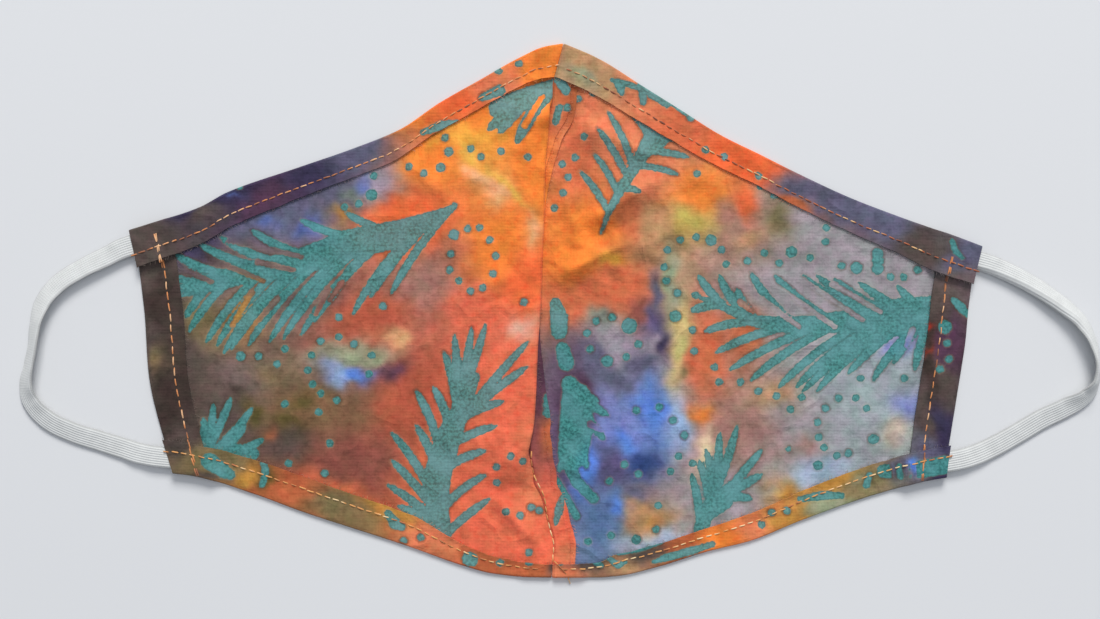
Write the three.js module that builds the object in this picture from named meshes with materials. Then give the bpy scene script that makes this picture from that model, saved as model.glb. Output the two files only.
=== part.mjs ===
// A contoured cloth face mask that lies flat on a surface, with its wearer's side up.
// Two cotton panels meet in a curved centre seam. The surplus of the nose dome lies in a fold
// of the left panel, which turns back under itself to that seam. The four edges are turned hems,
// and a flat elastic ear loop runs from the open end of the top hem to that of the bottom hem.
// Lengths are in millimetres, X runs to the right, Y towards the nose and Z up from the surface.
// The origin is on the surface, under the middle of the mask without its ear loops.
import * as THREE from 'three';

// Outline of the mask
const maskWidth = 243.5;
const maskHeight = 153;
const noseShift = 2.3;
const chinShift = -1.1;
const leftCornerDrop = 53.4;
const rightCornerDrop = 58;
const leftChinRise = 29.9;
const rightChinRise = 28.7;
const leftCornerInset = 12.6;
const rightCornerInset = 10.3;
const leftSideBow = 2.4;
const rightSideBow = 0.9;

// Cloth and hems
const clothThickness = 1;
const layerGap = 0.3;
const topHemWidth = 9.6;
const bottomHemWidth = 10.4;
const sideHemWidth = 11.2;
const hemEdgeRadius = 0.8;
const cornerMargin = 3;
const cornerRamp = 6;

// Centre seam and the fold over it
const allowanceWidth = 7.5;
const allowanceEndGap = 1.2;
const foldBow = 7;
const foldTail = 7.4;
const foldInnerGap = 0.8;
const foldRise = 26;

// Soft relief of the panels
const reliefHeight = 2;
const reliefSpread = 10;
const reliefMargin = 9;

// Ear loops
const elasticWidth = 6;
const elasticThickness = 1;
const elasticEdge = 0.3;
const leftLoopReach = 35.1;
const rightLoopReach = 38.6;
const loopEndLength = 10;

// Fineness of the faceted surfaces
const panelRows = 30;
const panelColumns = 22;
const columnCrowding = 1.25;
const foldSteps = 5;
const tailSteps = 3;
const allowanceColumns = 3;
const sideHemStations = 12;
const elasticSteps = 50;
const slopeStep = 0.01;
const hairLength = 0.02;

// Heights that follow from the stack of layers
const layerStep = clothThickness + layerGap;
const foldRadius = (clothThickness + foldInnerGap) / 2;
const foldLift = 2 * layerStep;
const cornerLift = Math.max(clothThickness, elasticThickness) + layerGap;
const tunnelMiddle = clothThickness + 1.5 * layerGap + elasticWidth / 2;
const tunnelHeight = clothThickness + 3 * layerGap + elasticWidth;
const cornerLength = sideHemWidth + cornerMargin;

// Top edge from the corner to the nose point. Across is a share of the half width, drop of the
// corner's drop below the nose, and hem of the top hem's width.
const leftTopRows = [
  { across: 0, drop: 1, hem: 1.15 },
  { across: 0.044, drop: 0.968, hem: 1.12 },
  { across: 0.16, drop: 0.877, hem: 1.08 },
  { across: 0.224, drop: 0.797, hem: 1.06 },
  { across: 0.391, drop: 0.662, hem: 0.95 },
  { across: 0.506, drop: 0.57, hem: 0.9 },
  { across: 0.622, drop: 0.461, hem: 0.92 },
  { across: 0.714, drop: 0.318, hem: 0.95 },
  { across: 0.807, drop: 0.195, hem: 0.98 },
  { across: 0.899, drop: 0.075, hem: 1 },
  { across: 0.957, drop: 0.017, hem: 1 },
  { across: 1, drop: 0, hem: 1 },
];
const rightTopRows = [
  { across: 0, drop: 1, hem: 1.15 },
  { across: 0.071, drop: 0.945, hem: 1.18 },
  { across: 0.191, drop: 0.858, hem: 1 },
  { across: 0.311, drop: 0.763, hem: 0.93 },
  { across: 0.431, drop: 0.649, hem: 0.88 },
  { across: 0.528, drop: 0.549, hem: 0.84 },
  { across: 0.624, drop: 0.451, hem: 0.86 },
  { across: 0.72, drop: 0.327, hem: 0.92 },
  { across: 0.816, drop: 0.203, hem: 0.96 },
  { across: 0.912, drop: 0.079, hem: 1 },
  { across: 1, drop: 0, hem: 1 },
];

// Bottom edge from the corner to the chin. Rise is a share of the corner's rise above the chin,
// and hem of the bottom hem's width, which is narrow under the chin.
const leftBottomRows = [
  { across: 0, rise: 1, hem: 0.95 },
  { across: 0.048, rise: 0.979, hem: 0.95 },
  { across: 0.212, rise: 0.8, hem: 1.02 },
  { across: 0.343, rise: 0.626, hem: 1.06 },
  { across: 0.465, rise: 0.482, hem: 0.98 },
  { across: 0.622, rise: 0.297, hem: 0.92 },
  { across: 0.757, rise: 0.123, hem: 0.6 },
  { across: 0.845, rise: 0.038, hem: 0.48 },
  { across: 0.932, rise: 0.005, hem: 0.4 },
  { across: 1, rise: 0, hem: 0.36 },
];
const rightBottomRows = [
  { across: 0, rise: 1, hem: 0.9 },
  { across: 0.047, rise: 0.968, hem: 0.9 },
  { across: 0.162, rise: 0.846, hem: 0.88 },
  { across: 0.239, rise: 0.75, hem: 0.86 },
  { across: 0.366, rise: 0.569, hem: 0.82 },
  { across: 0.494, rise: 0.367, hem: 0.77 },
  { across: 0.603, rise: 0.261, hem: 0.66 },
  { across: 0.733, rise: 0.104, hem: 0.64 },
  { across: 0.83, rise: 0.016, hem: 0.62 },
  { across: 0.89, rise: 0, hem: 0.4 },
  { across: 1, rise: 0, hem: 0.36 },
];

// Side edge from the bottom corner to the top one. Out is a share of the side's bow.
const leftSideRows = [
  { up: 0, out: 0 },
  { up: 0.1, out: 0.42 },
  { up: 0.36, out: 1 },
  { up: 0.68, out: 0.1 },
  { up: 0.9, out: -0.2 },
  { up: 1, out: 0 },
];
const rightSideRows = [
  { up: 0, out: 0 },
  { up: 0.09, out: -0.2 },
  { up: 0.33, out: -0.1 },
  { up: 0.55, out: 0 },
  { up: 0.75, out: -0.8 },
  { up: 0.9, out: -1 },
  { up: 1, out: 0 },
];

// The fold from the nose down to the chin. Down is a share of the way, edge of the fold's bow from
// the straight line between nose and chin, turn of a half turn of the cloth, tail of the length
// that lies under the fold, and lift of the height of the two seam plies that it lies on.
const foldRows = [
  { down: 0, edge: 0, turn: 0, tail: 0, lift: 0 },
  { down: 0.045, edge: -0.2, turn: 0, tail: 0, lift: 0 },
  { down: 0.072, edge: -0.4, turn: 0, tail: 0, lift: 0 },
  { down: 0.1, edge: -0.42, turn: 0.3, tail: 0.1, lift: 0.5 },
  { down: 0.13, edge: -0.43, turn: 0.6, tail: 0.2, lift: 1 },
  { down: 0.17, edge: -0.46, turn: 1, tail: 0.35, lift: 1 },
  { down: 0.236, edge: -0.56, turn: 1, tail: 0.64, lift: 1 },
  { down: 0.31, edge: -0.56, turn: 1, tail: 0.87, lift: 1 },
  { down: 0.4, edge: -0.6, turn: 1, tail: 1, lift: 1 },
  { down: 0.49, edge: -0.62, turn: 1, tail: 0.93, lift: 1 },
  { down: 0.57, edge: -0.7, turn: 1, tail: 0.72, lift: 1 },
  { down: 0.65, edge: -0.73, turn: 1, tail: 0.42, lift: 1 },
  { down: 0.71, edge: -0.79, turn: 1, tail: 0.2, lift: 1 },
  { down: 0.75, edge: -0.94, turn: 0.6, tail: 0.2, lift: 1 },
  { down: 0.8, edge: -1.13, turn: 0.22, tail: 0.38, lift: 0 },
  { down: 0.82, edge: -1.04, turn: 0.15, tail: 0.25, lift: 0 },
  { down: 0.844, edge: -0.55, turn: 0, tail: 0, lift: 0 },
  { down: 0.89, edge: -0.24, turn: 0, tail: 0, lift: 0 },
  { down: 0.94, edge: 0.05, turn: 0, tail: 0, lift: 0 },
  { down: 1, edge: 0, turn: 0, tail: 0, lift: 0 },
];

// Ridges of crumpled cloth between two places on a panel. U runs from the side to the seam and v
// from the bottom edge to the top one. High and wide are shares of the relief's height and spread.
const leftRidges = [
  { u: 0.745, v: 0.81, toU: 0.84, toV: 0.57, high: 0.8, wide: 1.5 },
  { u: 0.89, v: 0.137, toU: 0.95, toV: 0.07, high: 0.6, wide: 0.7 },
];
const rightRidges = [
  { u: 0.88, v: 0.6, toU: 0.78, toV: 0.68, high: 1, wide: 1 },
  { u: 0.825, v: 0.73, toU: 0.74, toV: 0.83, high: 1, wide: 1.1 },
  { u: 0.886, v: 0.87, toU: 0.76, toV: 0.88, high: 0.8, wide: 1.1 },
  { u: 0.92, v: 0.21, toU: 0.86, toV: 0.215, high: 0.6, wide: 0.8 },
];

// Chosen places along each ear loop, from the open end of the top hem round to that of the bottom
// hem. Out is a share of the loop's reach beyond the side edge, and up of the way from the lower
// open end to the upper one. Roll tips the flat elastic, in degrees with its inner edge up, and
// lift raises its underside from the surface, as a share of one layer of cloth with its gap.
const leftLoopRows = [
  { out: 0.115, up: 0.979, roll: 5, lift: 0.7 },
  { out: 0.24, up: 0.946, roll: 12, lift: 0.23 },
  { out: 0.445, up: 0.893, roll: 20, lift: 0 },
  { out: 0.668, up: 0.817, roll: 22, lift: 0 },
  { out: 0.809, up: 0.729, roll: 30, lift: 0 },
  { out: 0.883, up: 0.623, roll: 45, lift: 0 },
  { out: 0.911, up: 0.529, roll: 52, lift: 0 },
  { out: 0.953, up: 0.435, roll: 50, lift: 0 },
  { out: 1, up: 0.34, roll: 40, lift: 0 },
  { out: 0.991, up: 0.256, roll: 25, lift: 0 },
  { out: 0.893, up: 0.175, roll: 15, lift: 0 },
  { out: 0.716, up: 0.117, roll: 12, lift: 0 },
  { out: 0.53, up: 0.079, roll: 8, lift: 0 },
  { out: 0.359, up: 0.045, roll: 4, lift: 0.15 },
  { out: 0.232, up: 0.02, roll: 0, lift: 0.62 },
  { out: 0.11, up: 0.007, roll: 0, lift: 1 },
];
const rightLoopRows = [
  { out: 0.109, up: 0.979, roll: 8, lift: 0.7 },
  { out: 0.225, up: 0.951, roll: 18, lift: 0.23 },
  { out: 0.441, up: 0.884, roll: 28, lift: 0 },
  { out: 0.666, up: 0.793, roll: 38, lift: 0 },
  { out: 0.829, up: 0.708, roll: 50, lift: 0 },
  { out: 0.93, up: 0.606, roll: 64, lift: 0 },
  { out: 0.99, up: 0.496, roll: 72, lift: 0 },
  { out: 1, up: 0.402, roll: 62, lift: 0 },
  { out: 0.943, up: 0.326, roll: 35, lift: 0 },
  { out: 0.803, up: 0.265, roll: 15, lift: 0 },
  { out: 0.652, up: 0.211, roll: 8, lift: 0 },
  { out: 0.484, up: 0.136, roll: 5, lift: 0 },
  { out: 0.316, up: 0.068, roll: 2, lift: 0.15 },
  { out: 0.2, up: 0.033, roll: 0, lift: 0.62 },
  { out: 0.101, up: 0.013, roll: 0, lift: 1 },
];

// Colours and finishes
const leftCloth = { color: 0x9a6a4e, roughness: 0.88, metalness: 0 };
const rightCloth = { color: 0x7d8391, roughness: 0.88, metalness: 0 };
const hemCloth = { color: 0x6d5a55, roughness: 0.9, metalness: 0 };
const rawCloth = { color: 0x7a5a45, roughness: 0.92, metalness: 0 };
const whiteElastic = { color: 0xebeeeb, roughness: 0.7, metalness: 0 };

const { lerp, clamp, smoothstep, degToRad } = THREE.MathUtils;

// Reads one column of a table at a place between its rows, on a curve that never overshoots
function read(rows, along, key, place) {
  const last = rows.length - 1;
  const found = rows.findIndex((row) => row[along] >= place);
  const next = found < 0 ? last : Math.max(found, 1);
  const steep = (i) => (rows[i + 1][key] - rows[i][key]) / (rows[i + 1][along] - rows[i][along]);
  const slope = (i) => {
    if (i === 0) return steep(0);
    if (i === last) return steep(last - 1);
    const [before, after] = [steep(i - 1), steep(i)];
    return before * after <= 0 ? 0 : (2 * before * after) / (before + after);
  };
  const [low, high] = [rows[next - 1], rows[next]];
  const span = high[along] - low[along];
  const t = clamp((place - low[along]) / span, 0, 1);
  const ease = t * t * (3 - 2 * t);
  const leave = slope(next - 1) * span * t * (1 - t) * (1 - t);
  const arrive = slope(next) * span * t * t * (t - 1);
  return lerp(low[key], high[key], ease) + leave + arrive;
}

// The fold's shape at a share v of the way from the chin to the nose: where its arc starts and
// where its end meets the seam, both across from the straight line between them, and its heights
function foldAt(v) {
  const down = 1 - v;
  const turn = Math.PI * read(foldRows, 'down', 'turn', down);
  const tail = foldTail * read(foldRows, 'down', 'tail', down);
  const bulge = (foldRadius + clothThickness / 2) * Math.sin(Math.min(turn, Math.PI / 2));
  const start = foldBow * read(foldRows, 'down', 'edge', down) - bulge;
  const end = start + foldRadius * Math.sin(turn) + tail * Math.cos(turn);
  const endHeight = clothThickness / 2 + foldLift * read(foldRows, 'down', 'lift', down);
  const drop = foldRadius * (1 - Math.cos(turn)) + tail * Math.sin(turn);
  return { turn, tail, start, end, topHeight: endHeight + drop };
}

// One half of the mask as a patch between its four edges. U runs from the side edge to the centre
// and v from the bottom edge to the top one. Centre gives the inner edge's shift at each v.
function makePatch(half) {
  const top = (u) => ({
    x: lerp((half.sign * maskWidth) / 2, noseShift, u),
    y: maskHeight / 2 - half.cornerDrop * read(half.topRows, 'across', 'drop', u),
  });
  const bottom = (u) => ({
    x: lerp(half.sign * (maskWidth / 2 - half.cornerInset), chinShift, u),
    y: -maskHeight / 2 + half.chinRise * read(half.bottomRows, 'across', 'rise', u),
  });
  const point = (u, v) => {
    const [low, high] = [bottom(u), top(u)];
    const side = half.sign * half.sideBow * read(half.sideRows, 'up', 'out', v);
    const centre = half.centre(v);
    return new THREE.Vector2(
      lerp(low.x, high.x, v) + (1 - u) * side + u * centre,
      lerp(low.y, high.y, v),
    );
  };
  const width = (v) => point(0, v).distanceTo(point(1, v));
  const height = (u) => point(u, 0).distanceTo(point(u, 1));
  // Share of the height that a hem takes, and the share that keeps a distance from an edge
  const topHem = (u) => (topHemWidth * read(half.topRows, 'across', 'hem', u)) / height(u);
  const bottomHem = (u) => (bottomHemWidth * read(half.bottomRows, 'across', 'hem', u)) / height(u);
  const clearShare = (u, edge, distance) => {
    const [before, after] = [Math.max(u - slopeStep, 0), Math.min(u + slopeStep, 1)];
    const along = point(after, edge).sub(point(before, edge));
    const up = point(u, 1).sub(point(u, 0));
    return (distance * along.length()) / Math.abs(along.cross(up));
  };
  // Place v at a share of the way up between lines at that distance in from both edges
  const between = (u, distance, share) => (
    lerp(clearShare(u, 0, distance), 1 - clearShare(u, 1, distance), share)
  );
  return { ...half, point, width, height, topHem, bottomHem, between };
}

const leftPatch = makePatch({
  sign: -1,
  cornerDrop: leftCornerDrop,
  chinRise: leftChinRise,
  cornerInset: leftCornerInset,
  sideBow: leftSideBow,
  topRows: leftTopRows,
  bottomRows: leftBottomRows,
  sideRows: leftSideRows,
  ridges: leftRidges,
  coveredWidth: 0,
  centre: (v) => foldAt(v).start,
});
const rightPatch = makePatch({
  sign: 1,
  cornerDrop: rightCornerDrop,
  chinRise: rightChinRise,
  cornerInset: rightCornerInset,
  sideBow: rightSideBow,
  topRows: rightTopRows,
  bottomRows: rightBottomRows,
  sideRows: rightSideRows,
  ridges: rightRidges,
  coveredWidth: allowanceWidth,
  centre: (v) => foldAt(v).end,
});

// Height of the crumpled cloth, which dies out before the hems and over the seam allowance
function relief(patch, u, v) {
  const place = patch.point(u, v);
  const high = patch.ridges.map((ridge) => {
    const from = patch.point(ridge.u, ridge.v);
    const way = patch.point(ridge.toU, ridge.toV).sub(from);
    const share = clamp(place.clone().sub(from).dot(way) / way.lengthSq(), 0, 1);
    const away = place.distanceTo(from.addScaledVector(way, share));
    const near = Math.max(0, 1 - (away / (reliefSpread * ridge.wide)) ** 2);
    return ridge.high * near * near;
  });
  const below = (1 - v - patch.topHem(u)) * patch.height(u);
  const above = (v - patch.bottomHem(u)) * patch.height(u);
  const inward = (1 - u) * patch.width(v) - patch.coveredWidth;
  const fade = [below, above, inward].map((distance) => smoothstep(distance, 0, reliefMargin));
  return reliefHeight * Math.max(...high) * fade[0] * fade[1] * fade[2];
}

// Joins closed rings of points into one solid. Cap lists the triangles that close its first and
// last ring, each in the order that the ring runs in.
function loft(rings, cap) {
  const count = rings[0].length;
  const positions = rings.flat().flatMap((p) => [p.x, p.y, p.z]);
  const index = [];
  for (let row = 0; row + 1 < rings.length; row += 1) {
    for (let i = 0; i < count; i += 1) {
      const [a, b] = [row * count + i, row * count + ((i + 1) % count)];
      index.push(a, b, b + count, a, b + count, a + count);
    }
  }
  const lastRing = (rings.length - 1) * count;
  cap.forEach(([a, b, c]) => {
    index.push(c, b, a);
    index.push(a + lastRing, b + lastRing, c + lastRing);
  });
  const geometry = new THREE.BufferGeometry();
  geometry.setAttribute('position', new THREE.Float32BufferAttribute(positions, 3));
  geometry.setIndex(index);
  return faceOut(geometry);
}

// Turns every triangle over where the solid would be inside out
function faceOut(geometry) {
  const position = geometry.getAttribute('position');
  const index = geometry.getIndex().array;
  const [a, b, c] = [new THREE.Vector3(), new THREE.Vector3(), new THREE.Vector3()];
  let volume = 0;
  for (let i = 0; i < index.length; i += 3) {
    a.fromBufferAttribute(position, index[i]);
    b.fromBufferAttribute(position, index[i + 1]);
    c.fromBufferAttribute(position, index[i + 2]);
    volume += a.dot(b.cross(c));
  }
  if (volume < 0) index.reverse();
  geometry.computeVertexNormals();
  return geometry;
}

// A solid of cloth through rows of places on its middle surface, each with the cloth's up direction
function clothSheet(rows) {
  const half = clothThickness / 2;
  const face = (row, way) => row.map(({ x, y, z, up }) => (
    new THREE.Vector3(x + way * half * up.across, y, z + way * half * up.z)
  ));
  const rings = rows.map((row) => [...face(row, 1), ...face(row, -1).reverse()]);
  const end = rings[0].length - 1;
  const cap = [];
  for (let i = 0; i + 1 < rows[0].length; i += 1) {
    cap.push([i, i + 1, end - 1 - i], [i, end - 1 - i, end - i]);
  }
  return loft(rings, cap);
}

const flatUp = { across: 0, z: 1 };

// Shares of the way from the side to the centre, closer together near the fold
function columnShare(column) {
  return 1 - (1 - column / panelColumns) ** columnCrowding;
}

// Place v of a panel's row, which keeps clear of the walls of the top and bottom hems
function rowShare(patch, u, row) {
  return patch.between(u, layerStep, row / panelRows);
}

// Places on one row of a panel from its side to its centre
function panelRow(patch, row, centreHeight, endGap) {
  const places = [];
  for (let column = 0; column <= panelColumns; column += 1) {
    const share = columnShare(column);
    const middle = rowShare(patch, share, row);
    const first = layerStep / patch.width(middle);
    const last = 1 - endGap / patch.width(middle);
    const u = lerp(first, last, share);
    const v = rowShare(patch, u, row);
    const { x, y } = patch.point(u, v);
    const toCentre = (1 - u) * patch.width(v);
    const rise = smoothstep(toCentre, 0, foldRise);
    const z = lerp(centreHeight(v), clothThickness / 2, rise) + relief(patch, u, v);
    places.push({ x, y, z, up: flatUp });
  }
  return places;
}

function leftPanel() {
  const rows = [];
  for (let row = 0; row <= panelRows; row += 1) {
    const fold = foldAt(rowShare(leftPatch, 1, row));
    const places = panelRow(leftPatch, row, (v) => foldAt(v).topHeight, layerGap / 2);
    const last = places.at(-1);
    const onward = (distance, drop, angle) => places.push({
      x: last.x + distance,
      y: last.y,
      z: last.z - drop,
      up: { across: Math.sin(angle), z: Math.cos(angle) },
    });
    // Every row has the fold's places, a hair apart where the cloth doesn't turn
    for (let step = 1; step <= foldSteps; step += 1) {
      const angle = (fold.turn * step) / foldSteps;
      const hair = (hairLength * step) / foldSteps;
      onward(foldRadius * Math.sin(angle) + hair, foldRadius * (1 - Math.cos(angle)), angle);
    }
    const bend = places.at(-1);
    for (let step = 1; step <= tailSteps; step += 1) {
      const length = Math.max(fold.tail, hairLength) * (step / tailSteps);
      const distance = bend.x - last.x + length * Math.cos(fold.turn);
      onward(distance, last.z - bend.z + length * Math.sin(fold.turn), fold.turn);
    }
    rows.push(places);
  }
  return clothSheet(rows);
}

function rightPanel() {
  const rows = [];
  for (let row = 0; row <= panelRows; row += 1) {
    rows.push(panelRow(rightPatch, row, () => clothThickness / 2, layerGap));
  }
  return clothSheet(rows);
}

// The raw edges of the centre seam, pressed over the right panel between the two hems
function seamAllowance() {
  const halfWidth = rightPatch.width(0.5);
  const firstRun = clothThickness / 2 + layerGap;
  const rows = [];
  for (let row = 0; row <= panelRows; row += 1) {
    const places = [];
    for (let column = 0; column <= allowanceColumns; column += 1) {
      const run = (allowanceWidth * column) / allowanceColumns;
      const u = 1 - (firstRun + run) / halfWidth;
      const endShare = allowanceEndGap / rightPatch.height(u);
      const low = rightPatch.bottomHem(u) + endShare;
      const high = 1 - rightPatch.topHem(u) - endShare;
      const { x, y } = rightPatch.point(u, lerp(low, high, row / panelRows));
      places.push({ x, y, z: layerStep + clothThickness / 2, up: flatUp });
    }
    rows.push(places);
  }
  return clothSheet(rows);
}

// A turned hem: an outer wall down to the surface, and a strip folded in over the panel. Stations
// give a place on the mask's edge, the place on the hem's raw edge across from it, and the lift
// of the strip.
function turnedHem(stations) {
  const bevel = hemEdgeRadius * (1 - Math.SQRT1_2);
  const outlines = stations.map(({ outer, inner, lift }) => {
    const width = outer.distanceTo(inner);
    const under = layerStep + lift;
    const over = under + clothThickness;
    return [
      [0, 0],
      [0, over - hemEdgeRadius],
      [bevel, over - bevel],
      [hemEdgeRadius, over],
      [width, over],
      [width, under],
      [clothThickness, under],
      [clothThickness, 0],
    ].map(([across, z]) => new THREE.Vector2(across, z));
  });
  const rings = stations.map(({ outer, inner }, i) => {
    const direction = inner.clone().sub(outer).normalize();
    return outlines[i].map(({ x, y }) => (
      new THREE.Vector3(outer.x + direction.x * x, outer.y + direction.y * x, y)
    ));
  });
  const cap = THREE.ShapeUtils.triangulateShape(outlines[0], []);
  const turned = THREE.ShapeUtils.isClockWise(outlines[0]);
  return loft(rings, turned ? cap.map((face) => face.toReversed()) : cap);
}

// How far a top or bottom hem rises over what its open end holds
function endLift(distance) {
  return cornerLift * (1 - smoothstep(distance, cornerLength, cornerLength + cornerRamp));
}

// Stations of a top or bottom hem, from its open end to the centre
function endToEndHem(patch, edge, share) {
  const inward = edge === 1 ? -1 : 1;
  const centreGap = layerGap / 2 / patch.width(edge);
  const stations = [];
  for (let i = 0; i <= panelColumns; i += 1) {
    const u = columnShare(i) * (1 - centreGap);
    const outer = patch.point(u, edge);
    const inner = patch.point(u, edge + inward * share(u));
    stations.push({ outer, inner, lift: endLift(u * patch.width(edge)) });
  }
  return turnedHem(stations);
}

// Stations of a side hem, whose ends stop short of the elastic in the top and bottom hems
function sideHem(patch) {
  const stations = [];
  for (let i = 0; i <= sideHemStations; i += 1) {
    const v = patch.between(0, tunnelHeight, i / sideHemStations);
    const u = sideHemWidth / patch.width(v);
    const innerV = patch.between(u, tunnelHeight, i / sideHemStations);
    stations.push({ outer: patch.point(0, v), inner: patch.point(u, innerV), lift: 0 });
  }
  return turnedHem(stations);
}

// Places along an ear loop: in the top hem, round outside the mask and in the bottom hem
function loopPlaces(patch, reach, rows) {
  const inHem = (edge) => [0, 0.5, 1].map((share) => {
    const u = (share * loopEndLength) / patch.width(edge);
    const { x, y } = patch.point(u, patch.between(u, tunnelMiddle, edge));
    return { x, y, roll: 0, lift: 1 };
  });
  const outside = rows.map(({ out, up, roll, lift }) => {
    const { x, y } = patch.point(0, patch.between(0, tunnelMiddle, up));
    return { x: x + patch.sign * reach * out, y, roll, lift };
  });
  return [...inHem(1).reverse(), ...outside, ...inHem(0)];
}

// The middle line of a flat elastic that tips on its edge but never goes below the surface
class ElasticLine extends THREE.CatmullRomCurve3 {
  constructor(places, turnSign) {
    super(places.map((place) => new THREE.Vector3(place.x, place.y, 0)));
    this.places = places;
    this.turnSign = turnSign;
  }

  between(key, t) {
    const last = this.places.length - 1;
    const at = clamp(t, 0, 1) * last;
    const i = Math.min(Math.floor(at), last - 1);
    return lerp(this.places[i][key], this.places[i + 1][key], smoothstep(at - i, 0, 1));
  }

  getPoint(t, target = new THREE.Vector3()) {
    super.getPoint(t, target);
    const roll = Math.abs(degToRad(this.between('roll', t)));
    const stand = (elasticWidth * Math.sin(roll) + elasticThickness * Math.cos(roll)) / 2;
    return target.setZ(stand + layerStep * this.between('lift', t));
  }

  computeFrenetFrames(steps) {
    const frames = { tangents: [], normals: [], binormals: [] };
    for (let i = 0; i <= steps; i += 1) {
      const tangent = this.getTangentAt(i / steps);
      const across = new THREE.Vector3(0, 0, 1).cross(tangent).normalize();
      const roll = degToRad(this.between('roll', this.getUtoTmapping(i / steps)));
      across.applyAxisAngle(tangent, roll * this.turnSign);
      frames.tangents.push(tangent);
      frames.normals.push(across);
      frames.binormals.push(tangent.clone().cross(across));
    }
    return frames;
  }
}

function earLoop(patch, reach, rows) {
  const line = new ElasticLine(loopPlaces(patch, reach, rows), -patch.sign);
  const [wide, thick] = [elasticWidth / 2, elasticThickness / 2];
  const section = new THREE.Shape([
    [-wide, -thick + elasticEdge],
    [-wide + elasticEdge, -thick],
    [wide - elasticEdge, -thick],
    [wide, -thick + elasticEdge],
    [wide, thick - elasticEdge],
    [wide - elasticEdge, thick],
    [-wide + elasticEdge, thick],
    [-wide, thick - elasticEdge],
  ].map(([x, y]) => new THREE.Vector2(x, y)));
  return new THREE.ExtrudeGeometry(section, { steps: elasticSteps, extrudePath: line });
}

const mask = new THREE.Group();

function add(name, geometry, finish) {
  const mesh = new THREE.Mesh(geometry, new THREE.MeshStandardMaterial(finish));
  mesh.name = name;
  mask.add(mesh);
}

add('left_panel', leftPanel(), leftCloth);
add('right_panel', rightPanel(), rightCloth);
add('seam_allowance', seamAllowance(), rawCloth);
add('left_top_hem', endToEndHem(leftPatch, 1, leftPatch.topHem), hemCloth);
add('right_top_hem', endToEndHem(rightPatch, 1, rightPatch.topHem), hemCloth);
add('left_bottom_hem', endToEndHem(leftPatch, 0, leftPatch.bottomHem), hemCloth);
add('right_bottom_hem', endToEndHem(rightPatch, 0, rightPatch.bottomHem), hemCloth);
add('left_side_hem', sideHem(leftPatch), hemCloth);
add('right_side_hem', sideHem(rightPatch), hemCloth);
add('left_ear_loop', earLoop(leftPatch, leftLoopReach, leftLoopRows), whiteElastic);
add('right_ear_loop', earLoop(rightPatch, rightLoopReach, rightLoopRows), whiteElastic);

export default mask;
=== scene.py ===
# %% [markdown]
# # A cloth face mask, made from its solid model
# The mask lies flat with its wearer's side up. The solid model gives each piece its place, so
# the first step is to load it. Everything after that dresses one piece at a time: cloth with a
# dyed and printed pattern, turned hems, stitches, frayed edges and the two ear elastics.
# Lengths are written in millimetres and become metres when a mesh is made.

# %% Load the frame
import math

import bpy
import numpy as np
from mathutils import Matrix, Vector, noise
from mathutils.bvhtree import BVHTree


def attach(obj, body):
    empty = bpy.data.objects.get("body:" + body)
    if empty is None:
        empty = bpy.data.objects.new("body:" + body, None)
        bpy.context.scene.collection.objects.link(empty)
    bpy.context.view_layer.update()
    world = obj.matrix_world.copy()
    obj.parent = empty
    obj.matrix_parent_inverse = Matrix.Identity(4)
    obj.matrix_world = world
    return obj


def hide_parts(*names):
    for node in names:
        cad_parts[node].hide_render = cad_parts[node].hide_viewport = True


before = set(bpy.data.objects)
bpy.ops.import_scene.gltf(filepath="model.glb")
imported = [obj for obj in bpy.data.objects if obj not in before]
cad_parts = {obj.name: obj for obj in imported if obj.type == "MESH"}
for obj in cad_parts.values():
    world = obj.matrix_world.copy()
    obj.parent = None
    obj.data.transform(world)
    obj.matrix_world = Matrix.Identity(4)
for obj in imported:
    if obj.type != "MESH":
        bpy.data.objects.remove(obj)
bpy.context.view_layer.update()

MM = 0.001

# %% [markdown]
# ## Camera, light and table
# The photograph looks straight down. The ear elastic is 6 mm wide and covers 21 pixels, so one
# pixel is 0.287 mm, and a 50 mm lens has to stand about 0.44 m above the table to see the same
# width. A light table under a large soft lamp gives the pale, slightly blue ground. The lamp
# stands beyond the nose edge, because the elastics are darker on their lower sides.

# %% Camera
photo_width = 1100
pixel = 0.287
lens = 50
view_width = photo_width * pixel
middle_x, middle_y = -1.6, 0.3
camera_data = bpy.data.cameras.new("camera")
camera_data.lens = lens
camera = bpy.data.objects.new("camera", camera_data)
camera_height = view_width * lens / camera_data.sensor_width
camera.location = (middle_x * MM, middle_y * MM, camera_height * MM)
bpy.context.collection.objects.link(camera)
bpy.context.scene.camera = camera
bpy.context.scene.view_settings.view_transform = "Standard"
print("camera height in metres:", round(camera.location.z, 3))

# %% Lamps
def lamp(name, power, size, place, colour):
    data = bpy.data.lights.new(name, "AREA")
    data.energy, data.size, data.color = power, size, colour
    one = bpy.data.objects.new(name, data)
    one.location = place
    one.rotation_euler = (-Vector(place)).to_track_quat("-Z", "Y").to_euler()
    bpy.context.collection.objects.link(one)


lamp("key_lamp", power=82, size=1.2, place=(0.25, 2.3, 1.85), colour=(1.0, 0.985, 0.96))
lamp("fill_lamp", power=12, size=2.0, place=(0.2, 0.2, 2.6), colour=(0.93, 0.96, 1.0))
sky_colour, sky_strength = (0.86, 0.91, 1.0, 1), 0.36
world = bpy.data.worlds.new("studio")
world.use_nodes = True
sky = world.node_tree.nodes["Background"].inputs
sky["Color"].default_value, sky["Strength"].default_value = sky_colour, sky_strength
bpy.context.scene.world = world
print("lamps:", [one.name for one in bpy.data.lights])

# %% [markdown]
# ## Small tools
# An edge of the mask is a short table of places, read along a smooth line. The line is a cubic
# whose slopes are held so that it never swings past the rows. The same reading made the solid
# model, so both have one outline.

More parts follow.
